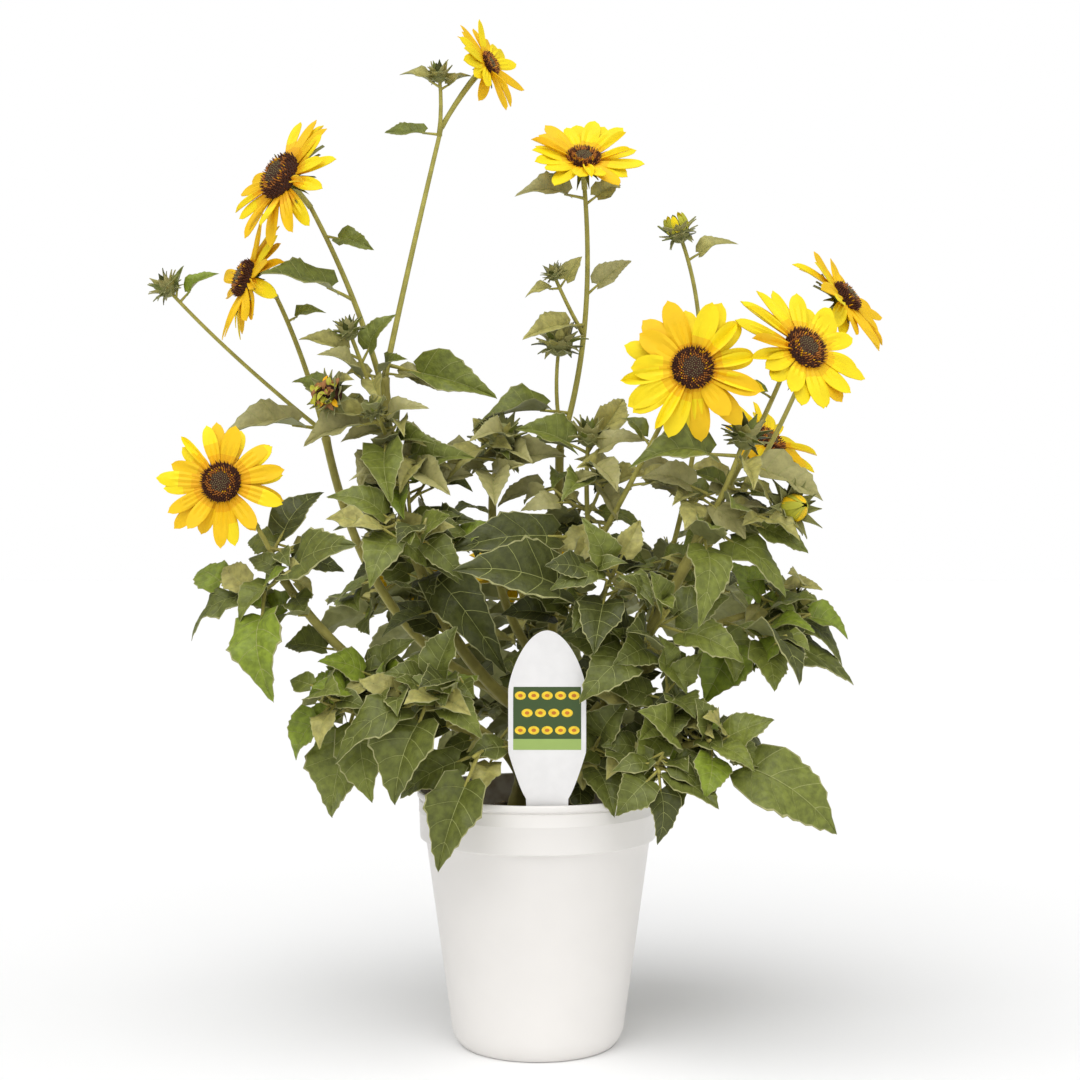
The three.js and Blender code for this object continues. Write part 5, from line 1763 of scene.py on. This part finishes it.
class SUNFLOWER_OT_pot(bpy.types.Operator):
    """Draw up the white pot, with its heel, collar, grooved rim and notched foot"""

    bl_idname = "sunflower.pot"
    bl_label = "Pot"

    def execute(self, context):
        settings = context.scene.sunflower_pot
        pot = turned_shell(pot_rings(POT_TOP / MM, RIM_RADIUS / MM), settings.facets)
        pot.name = "nursery_pot"
        for k in range(NOTCHES):
            cut_away(pot, notch_cutter(k))
        roughness, colour = settings.roughness, settings.colour
        plastic = Finish("pot_plastic", roughness, specular=0.45)
        plastic.mottle(shade(colour, 0.985), colour, scale=40.0)
        plastic.bump(scale=900.0, depth=0.00006, strength=0.3)
        plastic.uneven_gloss(scale=60.0, low=roughness - 0.05, high=roughness + 0.07)
        # The inside wall's painted shade
        wall_shade = Finish("pot_plastic_painted_shade", roughness + 0.2, specular=0.3)
        wall_shade.mottle(INNER_WALL_SHADE, blend(INNER_WALL_SHADE, colour, 0.25), scale=90.0)
        pot.data.materials.clear()
        pot.data.materials.append(plastic.material)
        pot.data.materials.append(wall_shade.material)
        # Inward faces between the collar and just under the rim take the painted shade
        for face in pot.data.polygons:
            inward = face.normal.x * face.center.x + face.normal.y * face.center.y < 0
            face.material_index = inward and COLLAR_FOOT < face.center.z < POT_TOP - WALL_SHADE_STOPS
        smooth_by_angle(pot, POT_SHARP)
        settle(pot, ["pot"])
        return {"FINISHED"}


# The soil, its lumps and the bark chips on it, in millimetres, shares and degrees
SOIL_FLAT = 34.0
SOIL_GRID = 70
INTO_WALL = 1.6
BED = 8 * MM
LUMPS = {"size": 7.0, "octaves": 4, "height": 1.4, "down": 1.2}
CHIPS = 900
CHIP = {"size": ((1.6, 7.0), (1.2, 3.0), (0.7, 1.8)), "taper": (0.7, 0.6), "tilt": (-18, 18),
        "spread": 0.985, "lift": 0.4}
CHIP_SHARP = 30
TAN = (0.3, 0.22, 0.14)


def soil_level(x, y):
    """The soil's height in millimetres: flat in the middle, lower at the wall, and lumpy."""
    fall = max(math.hypot(x, y) - SOIL_FLAT, 0) / (SOIL_RADIUS / MM - SOIL_FLAT)
    height = SOIL_TOP / MM + (SOIL_EDGE - SOIL_TOP) / MM * fall
    lumps = noise.fractal(Vector((x, y, 0)) / LUMPS["size"], 1.0, 2.0, LUMPS["octaves"])
    return height - LUMPS["down"] + LUMPS["height"] * lumps


class SUNFLOWER_OT_soil(bpy.types.Operator):
    """Fill the pot with lumpy potting mix and strew bark chips over it"""

    bl_idname = "sunflower.soil"
    bl_label = "Potting Mix"

    def execute(self, context):
        soil = added(bpy.ops.mesh.primitive_grid_add, x_subdivisions=SOIL_GRID,
                     y_subdivisions=SOIL_GRID, size=2)
        soil.name = "potting_mix"
        radius = SOIL_RADIUS / MM + INTO_WALL
        for vertex in soil.data.vertices:
            u, v = vertex.co.x, vertex.co.y
            x = radius * u * math.sqrt(1 - v * v / 2)
            y = radius * v * math.sqrt(1 - u * u / 2)
            vertex.co = Vector((x, y, soil_level(x, y))) * MM
        thicken(soil, BED)
        brown = context.scene.sunflower_pot.soil
        finish = Finish("soil_crumbs", 0.95, specular=0.2)
        finish.mottle(shade(brown, 0.5), shade(brown, 1.5), scale=420.0, low=0.3, high=0.7)
        finish.bump(scale=900.0, depth=0.0012, strength=0.9)
        soil.data.materials.append(finish.material)
        smooth_by_angle(soil, 180)
        settle(soil, ["soil"])
        self.chips(brown)
        return {"FINISHED"}

    def chips(self, brown):
        chip = added(bpy.ops.mesh.primitive_cube_add, size=1)
        for vertex in chip.data.vertices:
            vertex.co.x *= 1 if vertex.co.z < 0 else CHIP["taper"][0]
            vertex.co.y *= 1 if vertex.co.x < 0 else CHIP["taper"][1]
        chip = read_shape(chip)
        random = random_from(CHIP_SEED)
        tones = {"chip_dark": shade(brown, 0.45), "chip_brown": shade(brown, 1.3),
                 "chip_tan": blend(shade(brown, 2.2), TAN, 0.3)}
        bunch = Bunch()
        for _ in range(CHIPS):
            radius = SOIL_RADIUS / MM * math.sqrt(random()) * CHIP["spread"]
            angle = 2 * math.pi * random()
            x, y = radius * math.cos(angle), radius * math.sin(angle)
            points = chip.points * [between(limits, random) for limits in CHIP["size"]]
            along = direction(360 * random(), between(CHIP["tilt"], random))
            side = unit(np.cross([0, 0, 1.0], along))
            up = np.cross(along, side)
            place = np.array([x, y, soil_level(x, y) + CHIP["lift"]])
            points = place + points[:, :1] * along + points[:, 1:2] * side + points[:, 2:] * up
            bunch.add(points, chip, np.full(len(chip.sizes), pick(range(len(tones)), random)))
        make_piece("bark_chips", bunch, skin_finishes(tones, "bark"), sharp=CHIP_SHARP)


# The label, its picture and the ovals in the picture, in millimetres
LABEL_MIDDLE = (LABEL_BOX[0].x + LABEL_BOX[1].x) / 2 / MM
LABEL_HALF = (LABEL_BOX[1].x - LABEL_BOX[0].x) / 2 / MM
LABEL_TOP = LABEL_BOX[1].z / MM
LABEL_FRONT = LABEL_BOX[0].y / MM
LABEL_THICKNESS = (LABEL_BOX[1].y - LABEL_BOX[0].y) / MM
LABEL_ROWS = 64
LABEL_COLUMNS = 16
LABEL_TIP = 0.02
LABEL_FOOT = 13.5
LABEL_WAIST = (176.0, 206.0)
LABEL_TAPER = 0.8
LABEL_SHOULDER = 245.6
LABEL_DOME = (1.4, 0.526)
LABEL_SHARP = 30
PICTURE = {"low": 207.4, "high": 247.8, "rows": 8, "inset": 3.2, "proud": 0.12, "thickness": 0.22}
STRIP = {"height": 7.0, "rows": 4}
MOTIF = {"rows": 3, "step": 8.6, "sides": 14, "depth": 0.08, "oval": (3.6, 2.7), "dot": (1.5, 1.1)}


def label_half_width(height):
    """Half the label's width: a domed top, straight sides and a foot that slips into the rim."""
    foot, waist = LABEL_WAIST
    if height > LABEL_SHOULDER:
        share = min((height - LABEL_SHOULDER) / (LABEL_TOP - LABEL_SHOULDER), 1)
        return LABEL_HALF * (1 - share ** LABEL_DOME[0]) ** LABEL_DOME[1]
    if height > waist:
        return LABEL_HALF
    share = max((height - foot) / (waist - foot), 0)
    return LABEL_FOOT + (LABEL_HALF - LABEL_FOOT) * share ** LABEL_TAPER


def label_plate(low, high, rows, thickness, inset=0, proud=0):
    """A plate that follows the label's outline between two heights."""
    plate = added(bpy.ops.mesh.primitive_grid_add, x_subdivisions=LABEL_COLUMNS, y_subdivisions=rows,
                  size=2)
    for vertex in plate.data.vertices:
        share = (vertex.co.y + 1) / 2
        crowded = math.sin(math.pi / 2 * share) if rows == LABEL_ROWS else share
        height = low + (high - low) * crowded
        half = max(label_half_width(min(height, high)) - inset, LABEL_TIP)
        vertex.co = Vector((LABEL_MIDDLE + vertex.co.x * half, LABEL_FRONT - proud, height)) * MM
    thicken(plate, thickness * MM)
    face_outwards()
    return plate


class SUNFLOWER_OT_label(bpy.types.Operator):
    """Set the plain white label behind the rim, with a generic picture and a green strip"""

    bl_idname = "sunflower.label"
    bl_label = "Plant Label"

    def execute(self, context):
        settings = context.scene.sunflower_label
        card = label_plate(LABEL_BOX[0].z / MM, LABEL_TOP, LABEL_ROWS, LABEL_THICKNESS)
        self.finish(card, "label_card", "card_white", settings.card, ["plant_label"])
        low, high = PICTURE["low"] + STRIP["height"], PICTURE["high"]
        depth = (PICTURE["thickness"], PICTURE["inset"], PICTURE["proud"])
        panel = label_plate(low, high, PICTURE["rows"], *depth)
        self.finish(panel, "label_picture", "card_green", settings.picture)
        band = label_plate(PICTURE["low"], low, STRIP["rows"], *depth)
        self.finish(band, "label_band", "card_band", settings.band)
        self.motif(settings, low, high)
        return {"FINISHED"}

    def finish(self, piece, name, finish_name, colour, replaced=()):
        piece.name = name
        finish = Finish(finish_name, 0.42, specular=0.45)
        finish.mottle(shade(colour, 0.96), colour, scale=120.0)
        finish.bump(scale=1500.0, depth=0.00003, strength=0.2)
        piece.data.materials.append(finish.material)
        smooth_by_angle(piece, LABEL_SHARP)
        settle(piece, replaced)

    def motif(self, settings, low, high):
        """Small yellow ovals in staggered rows, each with an orange dot."""
        button = read_shape(added(bpy.ops.mesh.primitive_cylinder_add, vertices=MOTIF["sides"], radius=1,
                                  depth=1))
        bunch = Bunch()
        for row in range(MOTIF["rows"]):
            height = low + (high - low) * (row + 0.5) / MOTIF["rows"]
            for column in range(-2, 3 - row % 2):
                x = LABEL_MIDDLE + (column + row % 2 / 2) * MOTIF["step"]
                for tint, (wide, tall) in enumerate((MOTIF["oval"], MOTIF["dot"])):
                    depth = MOTIF["depth"] * (tint + 1)
                    across, up, out = (button.points * [wide, tall, depth]).T
                    front = LABEL_FRONT - PICTURE["proud"] - depth / 2
                    points = np.stack([across + x, front - out, up + height], axis=-1)
                    bunch.add(points, button, np.full(len(button.sizes), tint))
        finishes = skin_finishes({"motif_yellow": settings.motif, "motif_orange": settings.dot}, "print")
        make_piece("label_motif", bunch, finishes, sharp=LABEL_SHARP)


# The stage

# The floor lies just under the pot. A sun's spread is in radians
FLOOR_SIDES = 96
FLOOR_DROP = 0.4 * MM
KEY_SPREAD = 1.2
FILL_SPREAD = 1.6
SENSOR_WIDTH = 36


class SUNFLOWER_OT_stage(bpy.types.Operator):
    """Lay the pale floor, light it softly and set the level camera"""

    bl_idname = "sunflower.stage"
    bl_label = "Stage"

    def execute(self, context):
        settings = context.scene.sunflower_stage
        floor = added(bpy.ops.mesh.primitive_circle_add, vertices=FLOOR_SIDES, radius=settings.floor_radius,
                      fill_type="NGON", location=(0, 0, -FLOOR_DROP))
        floor.name = "floor"
        finish = Finish("floor_white", 0.9, specular=0.1)
        finish.mottle(shade(settings.floor, 0.995), settings.floor, scale=3.0)
        floor.data.materials.append(finish.material)
        self.light_room(settings)
        self.sun("key_light", settings.key_strength, settings.key_turn, settings.key_height, KEY_SPREAD)
        self.sun("fill_light", settings.fill_strength, settings.fill_turn, settings.fill_height, FILL_SPREAD)
        self.set_camera(context, settings)
        context.scene.view_settings.view_transform = "Standard"
        context.scene.view_settings.look = "None"
        return {"FINISHED"}

    def light_room(self, settings):
        """An even white room, brighter where it is seen than as a light."""
        world = bpy.data.worlds.new("Studio")
        world.use_nodes = True
        nodes, links = world.node_tree.nodes, world.node_tree.links
        room = nodes["Background"]
        room.inputs["Color"].default_value = (1, 1, 1, 1)
        path = nodes.new("ShaderNodeLightPath")
        spread = nodes.new("ShaderNodeMapRange")
        spread.inputs["To Min"].default_value = settings.room_light
        spread.inputs["To Max"].default_value = 1.0
        links.new(path.outputs["Is Camera Ray"], spread.inputs["Value"])
        links.new(spread.outputs["Result"], room.inputs["Strength"])
        bpy.context.scene.world = world

    def sun(self, name, strength, turn, height, spread):
        """A soft distant light. Turn 0 comes from the front, and positive turns from the right."""
        deselect_all()
        bpy.ops.object.light_add(type="SUN", location=(0, 0, 2))
        light = bpy.context.object
        light.name = name
        light.data.energy = strength
        light.data.angle = spread
        light.rotation_euler = (math.pi / 2 - height, 0, turn)

    def set_camera(self, context, settings):
        place = Vector((settings.camera_side, -settings.camera_distance, settings.camera_height))
        bpy.ops.object.camera_add(location=place, rotation=(math.pi / 2, 0, 0))
        camera = bpy.context.object
        camera.name = "camera"
        camera.data.lens = settings.lens
        camera.data.sensor_width = SENSOR_WIDTH
        camera.data.sensor_fit = "HORIZONTAL"
        context.scene.camera = camera


# Settings that a user would change, with the sizes and colours of this plant

def colour_setting(name, description, default):
    return bpy.props.FloatVectorProperty(name=name, description=description, subtype="COLOR", size=3,
                                         min=0, max=1, default=default)


def length_setting(name, description, millimetres):
    return bpy.props.FloatProperty(name=name, description=description, subtype="DISTANCE", unit="LENGTH",
                                   default=millimetres * MM)


def angle_setting(name, description, degrees):
    return bpy.props.FloatProperty(name=name, description=description, subtype="ANGLE", unit="ROTATION",
                                   default=math.radians(degrees))


def share_setting(name, description, default, most=1):
    return bpy.props.FloatProperty(name=name, description=description, subtype="FACTOR", min=0, max=most,
                                   default=default)


def strength_setting(name, description, default):
    return bpy.props.FloatProperty(name=name, description=description, min=0, default=default)


class SUNFLOWER_PG_pot(bpy.types.PropertyGroup):
    facets: bpy.props.IntProperty(name="Facets", description="Sides of the round pot", default=96, min=24)
    roughness: share_setting("Roughness", "How dull the pot's plastic is", 0.36)
    colour: colour_setting("Pot", "Colour of the pot's plastic", (0.83, 0.805, 0.775))
    soil: colour_setting("Potting mix", "Colour of the potting mix", (0.075, 0.06, 0.038))


class SUNFLOWER_PG_label(bpy.types.PropertyGroup):
    card: colour_setting("Card", "Colour of the label's card", (0.82, 0.81, 0.805))
    picture: colour_setting("Picture", "Ground colour of the label's picture", (0.045, 0.085, 0.02))
    band: colour_setting("Band", "Colour of the strip under the picture", (0.33, 0.46, 0.12))
    motif: colour_setting("Motif", "Colour of the picture's ovals", (0.87, 0.6, 0.03))
    dot: colour_setting("Dot", "Colour of the dot in each oval", (0.55, 0.17, 0.02))


class SUNFLOWER_PG_stems(bpy.types.PropertyGroup):
    pale: colour_setting("Pale stem", "Colour of the young stalks", (0.38, 0.345, 0.075))
    # Painted shade: the main stem's olive is a darker copy of the stalks' pale colour
    olive: colour_setting("Olive stem", "Colour of the main stem", (0.27, 0.235, 0.06))


class SUNFLOWER_PG_foliage(bpy.types.PropertyGroup):
    fullness: share_setting("Fullness", "How many finer leaves fill the crown", 1.0, most=2)
    green: colour_setting("Green", "Upper side of most leaves", (0.159, 0.184, 0.029))
    # Painted shade: a dark copy of the green, mostly for the inner leaves
    shaded_deep_green: colour_setting("Deep green", "Upper side of the inner leaves", (0.067, 0.076, 0.015))
    # Painted sheen: a lighter grey copy of the green, mostly for the high leaves
    sheen_grey_green: colour_setting("Grey green", "Upper side of the greyer leaves", (0.36, 0.335, 0.13))
    young_green: colour_setting("Young green", "Upper side of the young leaves", (0.375, 0.345, 0.1))
    lit_green: colour_setting("Lit green", "Leaves that the light shines through", (0.195, 0.255, 0.022))
    underside: colour_setting("Underside", "Underside of the leaves", (0.24, 0.245, 0.085))
    vein: colour_setting("Vein", "Veins and midribs of the leaves", (0.32, 0.34, 0.11))
    margin: colour_setting("Margin", "Downy margins of the leaves", (0.34, 0.335, 0.145))


class SUNFLOWER_PG_blooms(bpy.types.PropertyGroup):
    yellow: colour_setting("Yellow", "Petals", (0.9, 0.7, 0.008))
    # At the petals' claws the golden and the amber are partly painted shade near the disc
    golden: colour_setting("Golden", "Older petals and undersides", (0.87, 0.54, 0.007))
    amber: colour_setting("Amber", "Claws of the petals", (0.82, 0.43, 0.004))
    greenish: colour_setting("Greenish", "Young petals in an opening bud", (0.46, 0.45, 0.04))
    withered: colour_setting("Withered", "Dry petals of the spent head", (0.33, 0.145, 0.045))
    disc: colour_setting("Disc", "Dark florets round the disc", (0.1, 0.034, 0.017))
    rust: colour_setting("Rust", "Florets between the rim and the centre", (0.46, 0.17, 0.03))
    olive: colour_setting("Olive", "Florets at the disc's centre", (0.19, 0.155, 0.07))


class SUNFLOWER_PG_stage(bpy.types.PropertyGroup):
    floor: colour_setting("Floor", "Colour of the floor", (0.93, 0.93, 0.93))
    floor_radius: length_setting("Floor radius", "Reach of the round floor", 14000)
    room_light: strength_setting("Room light", "Light that comes from all sides", 0.34)
    key_strength: strength_setting("Key light", "Strength of the main light", 2.3)
    key_turn: angle_setting("Key turn", "Turn of the main light from the front", -30)
    key_height: angle_setting("Key height", "Height of the main light", 60)
    fill_strength: strength_setting("Fill light", "Strength of the second light", 0.95)
    fill_turn: angle_setting("Fill turn", "Turn of the second light", 48)
    fill_height: angle_setting("Fill height", "Height of the second light", 28)
    camera_side: length_setting("Camera side", "Camera's place to the right", 1.4)
    camera_distance: length_setting("Camera distance", "From the pot's middle", EYE_DISTANCE)
    camera_height: length_setting("Camera height", "Above the floor", EYE_HEIGHT)
    lens: bpy.props.FloatProperty(name="Lens", description="Focal length", default=58.4,
                                  subtype="DISTANCE_CAMERA", unit="CAMERA")


GROUPS = {
    "sunflower_pot": SUNFLOWER_PG_pot,
    "sunflower_label": SUNFLOWER_PG_label,
    "sunflower_stems": SUNFLOWER_PG_stems,
    "sunflower_foliage": SUNFLOWER_PG_foliage,
    "sunflower_blooms": SUNFLOWER_PG_blooms,
    "sunflower_stage": SUNFLOWER_PG_stage,
}
OPERATORS = (
    SUNFLOWER_OT_stage, SUNFLOWER_OT_pot, SUNFLOWER_OT_soil, SUNFLOWER_OT_label, SUNFLOWER_OT_boughs,
    SUNFLOWER_OT_twigs, SUNFLOWER_OT_leaves, SUNFLOWER_OT_petals, SUNFLOWER_OT_discs, SUNFLOWER_OT_buds,
)


class SUNFLOWER_PT_panel(bpy.types.Panel):
    """The plant's pieces and their settings"""

    bl_idname = "SUNFLOWER_PT_panel"
    bl_label = "Potted Sunflower"
    bl_space_type = "VIEW_3D"
    bl_region_type = "UI"
    bl_category = "Sunflower"

    def draw(self, context):
        for operator in OPERATORS:
            self.layout.operator(operator.bl_idname)
        for name, group in GROUPS.items():
            box = self.layout.box()
            for setting in group.__annotations__:
                box.prop(getattr(context.scene, name), setting)


def register():
    for group in (*GROUPS.values(), *OPERATORS, SUNFLOWER_PT_panel):
        bpy.utils.register_class(group)
    for name, group in GROUPS.items():
        setattr(bpy.types.Scene, name, bpy.props.PointerProperty(type=group))


def unregister():
    for name in GROUPS:
        delattr(bpy.types.Scene, name)
    for group in (SUNFLOWER_PT_panel, *reversed(OPERATORS), *reversed(GROUPS.values())):
        bpy.utils.unregister_class(group)


def main():
    register()
    bpy.ops.sunflower.stage()
    bpy.ops.sunflower.pot()
    bpy.ops.sunflower.soil()
    bpy.ops.sunflower.label()
    bpy.ops.sunflower.boughs()
    bpy.ops.sunflower.twigs()
    bpy.ops.sunflower.leaves()
    bpy.ops.sunflower.petals()
    bpy.ops.sunflower.discs()
    bpy.ops.sunflower.buds()


if __name__ == "__main__":
    main()
